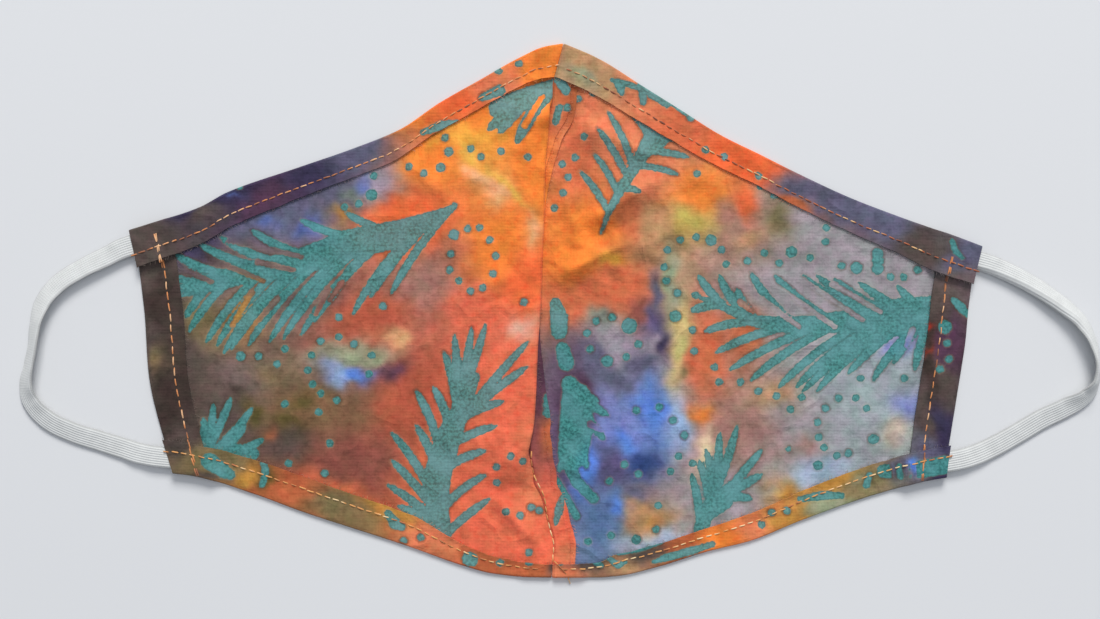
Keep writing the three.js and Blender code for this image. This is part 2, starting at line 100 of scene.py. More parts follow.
# %% Read a table along a smooth line
def smooth_line(rows, column=1):
    xs = np.array([row[0] for row in rows], float)
    ys = np.array([row[column] for row in rows], float)
    steep = np.diff(ys) / np.diff(xs)
    both = steep[:-1] * steep[1:]
    total = np.where(both > 0, steep[:-1] + steep[1:], 1)
    slope = np.concatenate([steep[:1], np.where(both > 0, 2 * both / total, 0), steep[-1:]])

    def at(place):
        x = np.clip(place, xs[0], xs[-1])
        i = np.clip(np.searchsorted(xs, x) - 1, 0, len(xs) - 2)
        span = xs[i + 1] - xs[i]
        t = (x - xs[i]) / span
        ease = t * t * (3 - 2 * t)
        leave = slope[i] * span * t * (1 - t) ** 2
        arrive = slope[i + 1] * span * t * t * (t - 1)
        return ys[i] + (ys[i + 1] - ys[i]) * ease + leave + arrive

    return at


def mix(low, high, share):
    return low + (high - low) * share


def ease_between(x, start, end):
    t = np.clip((x - start) / (end - start), 0, 1)
    return t * t * (3 - 2 * t)


def way_along(line, power=1):
    """How far along a line each of its places is, with every step raised to a power"""
    steps = np.linalg.norm(np.diff(line, axis=0), axis=1)
    return np.concatenate([[0], np.cumsum(steps ** power)])


def crumple(x, y, size, seed):
    """Smooth random heights from -1 to 1 at places in millimetres"""
    x, y = np.broadcast_arrays(x, y)
    flat = [noise.noise((a / size, b / size, seed)) for a, b in zip(x.ravel(), y.ravel())]
    return np.array(flat).reshape(x.shape)


# %% [markdown]
# ## The outline
# Each half of the mask is a patch between four edges. Inside a patch, u runs from the side edge
# to the centre, and v from the bottom edge to the top one. The tables hold shares of the sizes.

# %% Sizes and tables of the outline
mask_width, mask_height = 243.5, 153
nose_shift, chin_shift = 2.3, -1.1
top_hem_width, bottom_hem_width, side_hem_width = 9.6, 10.4, 11.2

# Rows of the top edge: across, drop below the nose, share of the hem's width
left_top = [
    (0, 1, 1.15), (0.044, 0.968, 1.12), (0.16, 0.877, 1.08), (0.224, 0.797, 1.06),
    (0.391, 0.662, 0.95), (0.506, 0.57, 0.9), (0.622, 0.461, 0.92), (0.714, 0.318, 0.95),
    (0.807, 0.195, 0.98), (0.899, 0.075, 1), (0.957, 0.017, 1), (1, 0, 1),
]
right_top = [
    (0, 1, 1.15), (0.071, 0.945, 1.18), (0.191, 0.858, 1), (0.311, 0.763, 0.93),
    (0.431, 0.649, 0.88), (0.528, 0.549, 0.84), (0.624, 0.451, 0.86), (0.72, 0.327, 0.92),
    (0.816, 0.203, 0.96), (0.912, 0.079, 1), (1, 0, 1),
]
# Rows of the bottom edge: across, rise above the chin, share of the hem's width
left_bottom = [
    (0, 1, 0.95), (0.048, 0.979, 0.95), (0.212, 0.8, 1.02), (0.343, 0.626, 1.06),
    (0.465, 0.482, 0.98), (0.622, 0.297, 0.92), (0.757, 0.123, 0.6), (0.845, 0.038, 0.48),
    (0.932, 0.005, 0.4), (1, 0, 0.36),
]
right_bottom = [
    (0, 1, 0.9), (0.047, 0.968, 0.9), (0.162, 0.846, 0.88), (0.239, 0.75, 0.86),
    (0.366, 0.569, 0.82), (0.494, 0.367, 0.77), (0.603, 0.261, 0.66), (0.733, 0.104, 0.64),
    (0.83, 0.016, 0.62), (0.89, 0, 0.4), (1, 0, 0.36),
]
# Rows of the side edges: up, share of the bow
left_side = [(0, 0), (0.1, 0.42), (0.36, 1), (0.68, 0.1), (0.9, -0.2), (1, 0)]
right_side = [(0, 0), (0.09, -0.2), (0.33, -0.1), (0.55, 0), (0.75, -0.8), (0.9, -1), (1, 0)]

# %% [markdown]
# ## The fold over the centre seam
# The mask is a dome. Laid flat, its surplus cloth falls to one side: the left panel turns back
# under itself in a hairpin and meets the right panel at the seam below. One table gives the
# fold's edge, how far the cloth turns, how long the hidden tail is, and what it lies on.

# %% The fold's shape
cloth = 0.36
ply_step = cloth + 0.06
rest_height = 0.16
fold_radius = 0.9
fold_bow, fold_tail, fold_rise = 7, 7.4, 26
# Rows: down from the nose, edge, turn, tail, lift
fold_rows = [
    (0, 0, 0, 0, 0), (0.045, -0.2, 0, 0, 0), (0.072, -0.4, 0, 0, 0), (0.1, -0.42, 0.3, 0.1, 0.5),
    (0.13, -0.43, 0.6, 0.2, 1), (0.17, -0.46, 1, 0.35, 1), (0.236, -0.56, 1, 0.64, 1),
    (0.31, -0.56, 1, 0.87, 1), (0.4, -0.6, 1, 1, 1), (0.49, -0.62, 1, 0.93, 1),
    (0.57, -0.7, 1, 0.72, 1), (0.65, -0.73, 1, 0.42, 1), (0.71, -0.79, 1, 0.2, 1),
    (0.75, -0.94, 0.6, 0.2, 1), (0.8, -1.13, 0.22, 0.38, 0), (0.82, -1.04, 0.15, 0.25, 0),
    (0.844, -0.55, 0, 0, 0), (0.89, -0.24, 0, 0, 0), (0.94, 0.05, 0, 0, 0), (1, 0, 0, 0, 0),
]
fold_edge, fold_turn, fold_length, fold_lift = [smooth_line(fold_rows, i) for i in (1, 2, 3, 4)]
# The cloth of the solid model is thicker than the real one
solid_cloth = 1


def fold_at(v):
    """Where the fold's arc starts, where its end meets the seam, and their heights"""
    down = 1 - v
    turn = math.pi * fold_turn(down)
    tail = fold_tail * fold_length(down)
    bulge = (fold_radius + solid_cloth / 2) * np.sin(np.minimum(turn, math.pi / 2))
    start = fold_bow * fold_edge(down) - bulge
    end = start + fold_radius * np.sin(turn) + tail * np.cos(turn)
    low = rest_height + cloth / 2 + 2 * ply_step * fold_lift(down)
    high = low + fold_radius * (1 - np.cos(turn)) + tail * np.sin(turn)
    return {"turn": turn, "tail": tail, "start": start, "end": end, "high": high}


middle_way = fold_at(np.array([0.6]))
print("fold height at the middle:", round(float(middle_way["high"][0]), 2), "mm")


# %% One half as a patch
class Half:
    def __init__(self, sign, drop, rise, inset, bow, top, bottom, side, centre):
        self.sign, self.drop, self.rise, self.inset, self.bow = sign, drop, rise, inset, bow
        self.top_line, self.top_share = smooth_line(top, 1), smooth_line(top, 2)
        self.bottom_line, self.bottom_share = smooth_line(bottom, 1), smooth_line(bottom, 2)
        self.side_line, self.centre = smooth_line(side), centre

    def point(self, u, v):
        """Place on the table at u and v"""
        top_x = mix(self.sign * mask_width / 2, nose_shift, u)
        top_y = mask_height / 2 - self.drop * self.top_line(u)
        low_x = mix(self.sign * (mask_width / 2 - self.inset), chin_shift, u)
        low_y = -mask_height / 2 + self.rise * self.bottom_line(u)
        side = self.sign * self.bow * self.side_line(v)
        x = mix(low_x, top_x, v) + (1 - u) * side + u * self.centre(v)
        return np.stack(np.broadcast_arrays(x, mix(low_y, top_y, v)), axis=-1)

    def width(self, v):
        return np.linalg.norm(self.point(0, v) - self.point(1, v), axis=-1)

    def height(self, u):
        return np.linalg.norm(self.point(u, 0) - self.point(u, 1), axis=-1)

    def top_hem(self, u):
        return top_hem_width * self.top_share(u)

    def bottom_hem(self, u):
        return bottom_hem_width * self.bottom_share(u)

    def clear(self, u, edge, distance):
        """Share of the height that lies within a distance of the top or bottom edge"""
        before, after = np.maximum(u - 0.01, 0), np.minimum(u + 0.01, 1)
        along = self.point(after, edge) - self.point(before, edge)
        up = self.point(u, 1) - self.point(u, 0)
        cross = np.abs(along[..., 0] * up[..., 1] - along[..., 1] * up[..., 0])
        return distance * np.linalg.norm(along, axis=-1) / cross

    def between(self, u, distance, share):
        """Place v at a share of the way between lines at a distance in from both edges"""
        return mix(self.clear(u, 0, distance), 1 - self.clear(u, 1, distance), share)


left = Half(-1, 53.4, 29.9, 12.6, 2.4, left_top, left_bottom, left_side,
            lambda v: fold_at(v)["start"])
right = Half(1, 58, 28.7, 10.3, 0.9, right_top, right_bottom, right_side,
             lambda v: fold_at(v)["end"])
print("height of the left side edge:", round(float(left.height(np.array(0.0))), 1), "mm")

# %% [markdown]
# ## From a grid of places to a closed mesh
# Every soft piece here is a grid of places: rows along it and columns across it. A sheet of cloth
# gets half its thickness on both sides of that grid and a narrow face round its edge, so that it
# is a closed piece. A tube closes each row into a ring. Both come out facing outwards, which the
# sign of their volume tells.

# %% Build a mesh from rows of places
def new_piece(name, places, faces, sharp=40):
    a, b, c = [places[faces[:, i]] for i in range(3)]
    d = places[faces[:, 3]]
    # The sign of the volume tells whether the faces point outwards
    if (a * np.cross(b, c)).sum() + (a * np.cross(c, d)).sum() < 0:
        faces = faces[:, ::-1]
    mesh = bpy.data.meshes.new(name)
    mesh.from_pydata((places * MM).tolist(), [], faces.tolist())
    mesh.shade_smooth()
    mesh.set_sharp_from_angle(angle=math.radians(sharp))
    piece = bpy.data.objects.new(name, mesh)
    bpy.context.collection.objects.link(piece)
    return piece


def surface_directions(grid):
    """Unit direction out of a grid's surface at each of its places"""
    out = np.cross(np.gradient(grid, axis=1), np.gradient(grid, axis=0))
    return out / np.maximum(np.linalg.norm(out, axis=-1, keepdims=True), 1e-9)


flat_places, flat_area = {}, {}


def cloth_piece(name, grid, flat, thickness=cloth, out=None):
    """Closed sheet round a grid. Flat holds each place on the uncut cloth, as the print saw it."""
    out = surface_directions(grid) if out is None else out
    rows, columns = grid.shape[:2]
    half = out * thickness / 2
    places = np.concatenate([(grid + half).reshape(-1, 3), (grid - half).reshape(-1, 3)])
    number = np.arange(rows * columns).reshape(rows, columns)
    face = np.stack([number[:-1, :-1], number[:-1, 1:], number[1:, 1:], number[1:, :-1]], -1)
    face = face.reshape(-1, 4)
    rim = np.concatenate([number[0], number[1:, -1], number[-1, -2::-1], number[-2:0:-1, 0]])
    after, low = np.roll(rim, -1), rows * columns
    wall = np.stack([rim, rim + low, after + low, after], -1)
    piece = new_piece(name, places, np.concatenate([face, face[:, ::-1] + low, wall]))
    flat_places[name] = flat.reshape(-1, 2)
    keep_flat(piece.data, np.concatenate([flat_places[name], flat_places[name]]))
    side, other = np.diff(flat, axis=1)[:-1], np.diff(flat, axis=0)[:, :-1]
    squares = np.abs(side[..., 0] * other[..., 1] - side[..., 1] * other[..., 0])
    flat_area[name] = float(squares.sum()) * MM ** 2
    return piece


def store(mesh, name, kind, key, values):
    """Keep a value for each vertex of a mesh"""
    mesh.attributes.new(name, kind, "POINT").data.foreach_set(key, values.ravel())


def keep_flat(mesh, flat):
    """Store each corner's place on the flat cloth or band, in millimetres, as the UV map"""
    corners = np.empty(len(mesh.loops), int)
    mesh.loops.foreach_get("vertex_index", corners)
    layer = mesh.uv_layers.new(name="UVMap")
    layer.data.foreach_set("uv", flat[corners].ravel())


# %% [markdown]
# ## Ear elastics
# The elastic is a soft knitted band, 6 mm wide, with fine ribs along it. It comes flat out of
# the open end of the top hem, tips up on its outer edge on the way round the ear and goes flat
# into the bottom hem. A band that tips needs its own turn at every place, so each ring of the
# tube is set across the route by hand instead of by a bevelled curve.

# %% Routes of the elastics, as in the solid model
elastic_width, elastic_thickness = 6, 1.15
layer, gap = 1.3, 0.3
hem_middle = solid_cloth + 1.5 * gap + elastic_width / 2
loop_end = 10
# Rows: out beyond the side edge, up between the hems' ends, roll in degrees, lift in layers
left_route = [
    (0.115, 0.979, 5, 0.7), (0.24, 0.946, 12, 0.23), (0.445, 0.893, 20, 0), (0.668, 0.817, 22, 0),
    (0.809, 0.729, 30, 0), (0.883, 0.623, 45, 0), (0.911, 0.529, 52, 0), (0.953, 0.435, 50, 0),
    (1, 0.34, 40, 0), (0.991, 0.256, 25, 0), (0.893, 0.175, 15, 0), (0.716, 0.117, 12, 0),
    (0.53, 0.079, 8, 0), (0.359, 0.045, 4, 0.15), (0.232, 0.02, 0, 0.62), (0.11, 0.007, 0, 1),
]
right_route = [
    (0.109, 0.979, 8, 0.7), (0.225, 0.951, 18, 0.23), (0.441, 0.884, 28, 0), (0.666, 0.793, 38, 0),
    (0.829, 0.708, 50, 0), (0.93, 0.606, 64, 0), (0.99, 0.496, 72, 0), (1, 0.402, 62, 0),
    (0.943, 0.326, 35, 0), (0.803, 0.265, 15, 0), (0.652, 0.211, 8, 0), (0.484, 0.136, 5, 0),
    (0.316, 0.068, 2, 0.15), (0.2, 0.033, 0, 0.62), (0.101, 0.013, 0, 1),
]


def route_places(half, reach, rows):
    """x, y, roll and lift along the elastic, from inside the top hem to inside the bottom hem"""
    def in_hem(edge):
        u = np.array([0, 0.5, 1]) * loop_end / half.width(edge)
        return [(x, y, 0, 1) for x, y in half.point(u, half.between(u, hem_middle, edge))]

    def outside(row):
        x, y = half.point(0.0, half.between(np.array(0.0), hem_middle, row[1]))
        return (x + half.sign * reach * row[0], y, row[2], row[3])

    return np.array(in_hem(1)[::-1] + [outside(row) for row in rows] + in_hem(0))


def through(places, count):
    """Even places on a round curve through the given ones"""
    knot = way_along(places[:, :2], 0.5)
    fine = np.linspace(0, knot[-1], 40 * len(places))
    tangent = np.gradient(places, knot, axis=0)
    i = np.clip(np.searchsorted(knot, fine) - 1, 0, len(knot) - 2)
    span = (knot[i + 1] - knot[i])[:, None]
    t = (fine[:, None] - knot[i][:, None]) / span
    ease = t * t * (3 - 2 * t)
    curve = mix(places[i], places[i + 1], ease)
    curve += span * (tangent[i] * t * (1 - t) ** 2 + tangent[i + 1] * t * t * (t - 1))
    curve[:, 2:] = mix(places[i, 2:], places[i + 1, 2:], ease)
    way = way_along(curve[:, :2])
    even = np.linspace(0, way[-1], count)
    return np.stack([np.interp(even, way, column) for column in curve.T], -1)


# %% The band along its route and across it
ring_step = 0.42
ribs, rib_height = 9, 0.045
across_steps = 36
about_long = 123
curl_start, curl_end = 0.7, 1.9


def band_frame(half, reach, rows):
    """The band's middle line, with its direction inwards and its face's direction at each place"""
    places = through(route_places(half, reach, rows), round(about_long / ring_step))
    roll = np.radians(places[:, 2])
    stand = (elastic_width * np.sin(roll) + elastic_thickness * np.cos(roll)) / 2
    line = np.column_stack([places[:, :2], stand + layer * places[:, 3]])
    along = np.gradient(line, axis=0)
    along /= np.linalg.norm(along, axis=1, keepdims=True)
    flat_in = -half.sign * np.cross([0, 0, 1], along)
    flat_in /= np.linalg.norm(flat_in, axis=1, keepdims=True)
    up = np.cross(along, flat_in) * -half.sign
    up *= np.sign(up[:, 2:])
    cos, sin = np.cos(roll)[:, None], np.sin(roll)[:, None]
    return line, flat_in * cos + up * sin, up * cos - flat_in * sin


def band_sides(curl, count):
    """The two faces across the band, as steps inwards and out of its face at each place"""
    a = np.linspace(-1, 1, across_steps) * elastic_width / 2
    bend = np.radians(smooth_line(curl)(np.linspace(0, 1, count)))[:, None]
    bend = bend * ease_between(a, curl_start, curl_end)
    run, fall = [np.cumsum(turn(bend) * np.gradient(a), 1) for turn in (np.cos, np.sin)]
    run, fall = [shift - shift[:, across_steps // 2, None] for shift in (run, fall)]
    rim = np.maximum(1 - (np.abs(a) / (elastic_width / 2)) ** 5, 0.01) ** 0.5
    rib = rib_height * np.cos(2 * np.pi * ribs * (a / elastic_width + 0.5))
    half_thick = (elastic_thickness / 2 + rib) * rim
    return a, [(run + way * half_thick * np.sin(bend), -fall + way * half_thick * np.cos(bend))
               for way in (1, -1)]


# %% Knit one elastic
def elastic(name, half, reach, rows, curl):
    """A flat ribbed tube. Curl bends the inner third of the band down, in degrees along it."""
    line, inward, face = band_frame(half, reach, rows)
    a, steps = band_sides(curl, len(line))
    upper, lower = [line[:, None] + inward[:, None] * over[..., None]
                    + face[:, None] * high[..., None] for over, high in steps]
    rings = np.concatenate([upper, lower[:, ::-1]], axis=1)
    count, around = rings.shape[:2]
    number = np.arange(count * around).reshape(count, around)
    beside = np.roll(number, -1, axis=1)
    wall = np.stack([number[:-1], beside[:-1], beside[1:], number[1:]], -1).reshape(-1, 4)
    half_way = np.arange(across_steps - 1)
    ends = []
    for ring, order in ((number[0], 1), (number[-1], -1)):
        strip = np.stack([ring[half_way], ring[around - 1 - half_way],
                          ring[around - 2 - half_way], ring[half_way + 1]], -1)
        ends.append(strip[:, ::order])
    piece = new_piece(name + "_elastic", rings.reshape(-1, 3), np.concatenate([wall] + ends),
                      sharp=75)
    way = way_along(line)
    band = np.concatenate([a, a[::-1]])
    keep_flat(piece.data, np.stack(np.broadcast_arrays(way[:, None], band), -1).reshape(-1, 2))
    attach(piece, "root")
    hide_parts(name)
    print(name, "is", round(float(way[-1]), 1), "mm long,", len(piece.data.polygons), "faces")
    return piece


left_elastic = elastic("left_ear_loop", left, 35.1, left_route, [(0, 0), (1, 0)])
right_elastic = elastic("right_ear_loop", right, 38.6, right_route,
                        [(0, 70), (0.12, 70), (0.3, 60), (0.45, 25), (0.55, 0), (1, 0)])

# %% [markdown]
# ## Panels
# Each panel is one layer of cotton. It lies nearly flat, rises to the fold in the middle, and
# keeps soft waves and a few creases from being sewn and handled. Laying a fine grid over the
# patch gives the cloth a place for every crease, and the same grid says where each place was on
# the flat printed cloth. The grid ends just inside the mask's edges, where the hems take over.

# %% Waves and creases
edge_run = 1.5
cloth_low = rest_height + cloth / 2
wave_height, wave_size, ripple_height, ripple_size = 0.75, 34, 0.12, 9
pucker_height, pucker_size, pucker_reach = 0.16, 4.2, 14
fade = 9
# Rows: u, v, to u, to v, height, spread
left_creases = [(0.745, 0.81, 0.84, 0.57, 1.3, 15), (0.89, 0.137, 0.95, 0.07, 1.9, 4.5)]
right_creases = [
    (0.88, 0.6, 0.78, 0.68, 3.2, 7), (0.825, 0.73, 0.74, 0.83, 3.2, 7),
    (0.886, 0.87, 0.76, 0.88, 1.8, 8), (0.92, 0.21, 0.86, 0.215, 1.1, 6),
    (0.9, 0.73, 0.86, 0.66, 1.6, 5), (0.72, 0.7, 0.66, 0.76, 1.5, 7),
]


def crease_height(half, creases, place):
    high = np.zeros(place.shape[:2])
    for u, v, to_u, to_v, height, spread in creases:
        start = half.point(np.array(u), np.array(v))
        way = half.point(np.array(to_u), np.array(to_v)) - start
        share = np.clip(((place - start) @ way) / (way @ way), 0, 1)
        away = np.linalg.norm(place - start - share[..., None] * way, axis=-1)
        near = np.maximum(1 - away / spread, 0)
        high = np.maximum(high, height * near ** 1.6)
    return high


def cloth_height(half, creases, u, v, place, centre_high, covered, seed):
    """Height of a panel's middle surface"""
    to_centre = (1 - u) * half.width(v)
    z = mix(centre_high, cloth_low, ease_between(to_centre, 0, fold_rise))
    from_top = (1 - v) * half.height(u) - half.top_hem(u)
    from_bottom = v * half.height(u) - half.bottom_hem(u)
    from_hem = np.minimum(from_top, from_bottom)
    inside = ease_between(from_hem, 0, fade) * ease_between(to_centre - covered, 0, fade)
    x, y = place[..., 0], place[..., 1]
    wave = wave_height * np.maximum(crumple(x, y, wave_size, seed) + 0.15, 0)
    wave = wave + ripple_height * crumple(x, y, ripple_size, seed)
    pucker = pucker_height * crumple(x, from_hem / 4, pucker_size, seed)
    pucker = pucker * (1 - ease_between(from_hem, 2, pucker_reach))
    dry = ease_between(from_hem, -2, 1.5) * ease_between(u * half.width(v), 10, 14)
    z = z + inside * (crease_height(half, creases, place) + np.maximum(wave, 0))
    return z + dry * np.abs(pucker)


# %% The grid of a panel
grid_step = 0.7
panel_height, panel_width = 150, 120
panel_rows, panel_columns = round(panel_height / grid_step), round(panel_width / grid_step)
seam_gap = 0.15


def panel_grid(half):
    column = np.linspace(0, 1, panel_columns)[None]
    row = np.linspace(0, 1, panel_rows)[:, None]
    middle = half.between(column, edge_run, row)
    first, last = edge_run / half.width(middle), 1 - seam_gap / half.width(middle)
    u = mix(first, last, column)
    v = half.between(u, edge_run, row)
    return u, v, half.point(u, v)


# %% Left panel with its fold
# The turned part is an arc under the fold's edge and then a straight tail. A hair's width keeps
# its places apart where the fold ends.
arc_steps, tail_steps, apart = 12, 8, 0.02
u, v, place = panel_grid(left)
z = cloth_height(left, left_creases, u, v, place, fold_at(v)["high"], 0, 3.1)
main = np.concatenate([place, z[..., None]], -1)
out = surface_directions(main)
fold = {key: value[:, None] for key, value in fold_at(v[:, -1]).items()}
share = np.linspace(0, 1, arc_steps + 1)[None, 1:]
angle = fold["turn"] * share
hair = apart * share
arc_x, arc_drop = fold_radius * np.sin(angle) + hair, fold_radius * (1 - np.cos(angle))
tail_share = np.linspace(0, 1, tail_steps + 1)[None, 1:]
length = np.maximum(fold["tail"], apart) * tail_share
tail_x = arc_x[:, -1:] + length * np.cos(fold["turn"])
tail_drop = arc_drop[:, -1:] + length * np.sin(fold["turn"])
over_x, drop = np.hstack([arc_x, tail_x]), np.hstack([arc_drop, tail_drop])
last = main[:, -1:]
turned = np.stack(np.broadcast_arrays(
    last[..., 0] + over_x, last[..., 1], last[..., 2] - drop), -1)
turned_angle = np.hstack([angle, np.broadcast_to(fold["turn"], tail_x.shape)])
turned_out = np.stack([np.sin(turned_angle), 0 * turned_angle, np.cos(turned_angle)], -1)
run = np.hstack([fold_radius * angle + hair, fold_radius * fold["turn"] + length])
left_flat = np.concatenate([place, np.stack(np.broadcast_arrays(
    last[..., 0] + run, last[..., 1]), -1)], 1)
left_panel = cloth_piece("left_panel_cloth", np.concatenate([main, turned], 1), left_flat,
                         out=np.concatenate([out, turned_out], 1))
print("left panel:", len(left_panel.data.polygons), "faces")

# %% Right panel
u, v, place = panel_grid(right)
z = cloth_height(right, right_creases, u, v, place, cloth_low, 5, 7.7)
right_panel = cloth_piece("right_panel_cloth", np.concatenate([place, z[..., None]], -1), place)
print("right panel:", len(right_panel.data.polygons), "faces")

# %% [markdown]
# ## Seam allowance
# The panels were sewn with their right sides together, so the wearer's side shows both raw
# edges of the seam, pressed to the right. The upper one was trimmed a little narrower. Each is a
# narrow strip that follows the seam between the two hems.

# %% The two raw edges of the seam
allowance_widths = {"seam_edge_lower": 7.2, "seam_edge_upper": 5.3}
under_hem, curl_height = 1.5, 0.8
raw_lines = {}


def allowance(name, width, plies):
    runs = np.hstack([np.linspace(0, 0.8, 6), np.linspace(1, width, round(width / 0.6))])[None]
    row = np.linspace(0, 1, panel_rows)[:, None]
    ragged = 0.12 * crumple(row * 90, 0, 1.3, plies) + 0.25 * crumple(row * 30, 0, 2, 5)
    over = runs + ragged * (runs / width) ** 4
    u = 1 - (over + 0.1) / right.width(0.5)
    low = (right.bottom_hem(u) - under_hem) / right.height(u)
    high = 1 - (right.top_hem(u) - under_hem) / right.height(u)
    place = right.point(u, mix(low, high, row))
    rise = plies * ply_step * ease_between(runs, -0.1, 0.8)
    free = ease_between(row, 0, 0.05) * (1 - ease_between(row, 0.93, 0.98))
    lift = curl_height * np.abs(crumple(row * 26, 0, 2, plies + 2)) * (runs / width) ** 3
    z = cloth_low + rise + lift * free
    piece = cloth_piece(name, np.concatenate([place, z[..., None]], -1), place)
    raw_lines[name] = np.concatenate([place[:, -1], z[:, -1:]], -1)
    return piece


seam_strips = [allowance(name, width, i + 1)
               for i, (name, width) in enumerate(allowance_widths.items())]
print("seam allowance:", [len(strip.data.polygons) for strip in seam_strips], "faces")

# %% [markdown]
# ## Turned hems
# Every edge is folded once towards the wearer and stitched down, which leaves the cut edge of
# the cloth lying open on the panel. A hem is one strip: a short way under the edge, round the
# fold, and back over the panel to the cut edge, which curls up a little.

# %% One hem
stitch_share = 0.66
fold_steps, turn_depth = 10, 0.4
puff_height, puff_change, puff_size = 0.22, 0.12, 14
stitch_lines = {}


def hem(name, outer, inner, run, contact, seed, free=0.35):
    """A hem from edge places to raw-edge places, with its height over the panel"""
    width = np.linalg.norm(inner - outer, axis=-1)[:, None]
    inward = (inner - outer) / width
    stations = np.arange(len(outer)) * grid_step
    ragged = 0.13 * crumple(stations, 0, 1.1, seed) + 0.2 * crumple(stations, 0, 5, seed)
    contact = contact[:, None]
    puff = puff_height + puff_change * crumple(stations, 0, puff_size, seed)[:, None]
    high = contact + puff
    phi = np.linspace(0, math.pi, fold_steps)[None]
    lower = mix(run[:, None], turn_depth, np.linspace(0, 1, 3)[None, :-1])
    fold_d, fold_z = turn_depth * (1 - np.sin(phi)), high / 2 * (1 - np.cos(phi))
    strip_share = np.linspace(0, 1, round(width.mean() / grid_step) + 1)[None, 1:]
    strip_d = mix(turn_depth, width + ragged[:, None] * strip_share ** 6, strip_share)
    stitch = stitch_share * width
    free_edge = free * (0.5 + np.abs(crumple(stations, 0, 7, seed + 1))[:, None])
    strip_z = contact + puff * (1 - ease_between(strip_d, turn_depth, stitch - 0.6))
    strip_z = strip_z + free_edge * np.maximum((strip_d - stitch) / (width - stitch), 0) ** 1.5
    d = np.hstack([lower, np.broadcast_to(fold_d, (len(outer), fold_steps)), strip_d])
    z = np.hstack([0 * lower, fold_z, strip_z])
    reach = d + cloth / 2 * np.exp(-(d / 0.6) ** 2)
    place = outer[:, None] + inward[:, None] * reach[..., None]
    grid = np.concatenate([place, cloth_low + z[..., None]], -1)
    # Dye goes right through the cloth, so the strip's pattern is read where the strip lies
    over = np.hstack([-lower, np.zeros((len(outer), fold_steps)), strip_d])
    flat = outer[:, None] + inward[:, None] * over[..., None]
    piece = cloth_piece(name + "_cloth", grid, flat)
    raw_lines[name] = grid[:, -1]
    stitch_lines[name] = outer + inward * stitch
    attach(piece, "root")
    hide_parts(name)
    return piece


# %% Heights that the corners hold
in_hem_height = elastic_thickness + 0.25
elastic_slope, side_slope = (loop_end + 0.5, loop_end + 6), (side_hem_width, side_hem_width + 1.5)
seam_slope, seam_start = (7.6, 11.5), (0, 0.9)
hem_gap = 0.17


def corner_lift(distance):
    """What lies inside a top or bottom hem near its open end: elastic and side hem"""
    elastic_part = in_hem_height * (1 - ease_between(distance, *elastic_slope))
    return elastic_part + ply_step * (1 - ease_between(distance, *side_slope))


def edge_hem(name, half, edge, width_at, seed):
    u = np.linspace(0, 1 - hem_gap / half.width(edge), round(half.width(edge) / grid_step))
    inward = -1 if edge else 1
    outer = half.point(u, edge)
    inner = half.point(u, edge + inward * width_at(u) / half.height(u))
    run = half.clear(u, edge, edge_run) * half.height(u)
    to_centre = (1 - u) * half.width(edge)
    # Two raw edges lie under the right hem's end, and half as much cloth under the left one's
    plies = 2 if half.sign > 0 else 1
    seam = (1 - ease_between(to_centre, *seam_slope)) * ease_between(to_centre, *seam_start)
    contact = ply_step + corner_lift(u * half.width(edge)) + plies * ply_step * seam
    return hem(name, outer, inner, run, contact, seed)


top_and_bottom = [
    edge_hem("left_top_hem", left, 1.0, left.top_hem, 11.3),
    edge_hem("right_top_hem", right, 1.0, right.top_hem, 15.7),
    edge_hem("left_bottom_hem", left, 0.0, left.bottom_hem, 21.9),
    edge_hem("right_bottom_hem", right, 0.0, right.bottom_hem, 27.1),
]

# %% Side hems, which end inside the top and bottom ones
side_run = edge_run + 0.1


def side_hem(name, half, seed, free):
    share = np.linspace(0, 1, round(float(half.height(np.array(0.0))) / grid_step))
    zero = np.zeros_like(share)
    v = half.between(zero, side_run, share)
    u = side_hem_width / half.width(v)
    inner = half.point(u, half.between(u, side_run, share))
    return hem(name, half.point(zero, v), inner, zero + edge_run, zero + ply_step, seed, free)


sides = [side_hem("left_side_hem", left, 33.1, 0.3), side_hem("right_side_hem", right, 37.9, 0.8)]
hems = top_and_bottom + sides
print("hems:", {one.name: len(one.data.polygons) for one in hems})

# %% [markdown]
# ## The dyed and printed pattern
# The cotton is a batik. A maker stamps wax on teal cloth, as fern fronds and dots, and the wax
# keeps the teal while pools of other dye are painted round it and bleed into one another. So
# the pattern has two parts. The dye pools are a list of colours with a place and a reach, and
# each place on the cloth takes their mean by nearness, after noise has pushed it about as wet
# cloth does. The wax is stored as a distance in millimetres to the edge of the nearest frond or
# dot, so that the material can draw a crisp edge at any size.

# %% Read a table from text
def rows_in(text):
    """Rows of numbers, some after a name, with commas between them"""
    def value(word):
        return word if word[0].isalpha() else float(word)
    return [[value(word) for word in row.split()] for row in text.split(",") if row.strip()]


def entries_in(text):
    """Entries end with a semicolon, and bars divide an entry's lists of rows"""
    return [[rows_in(part) for part in entry.split("|")] for entry in text.split(";")]


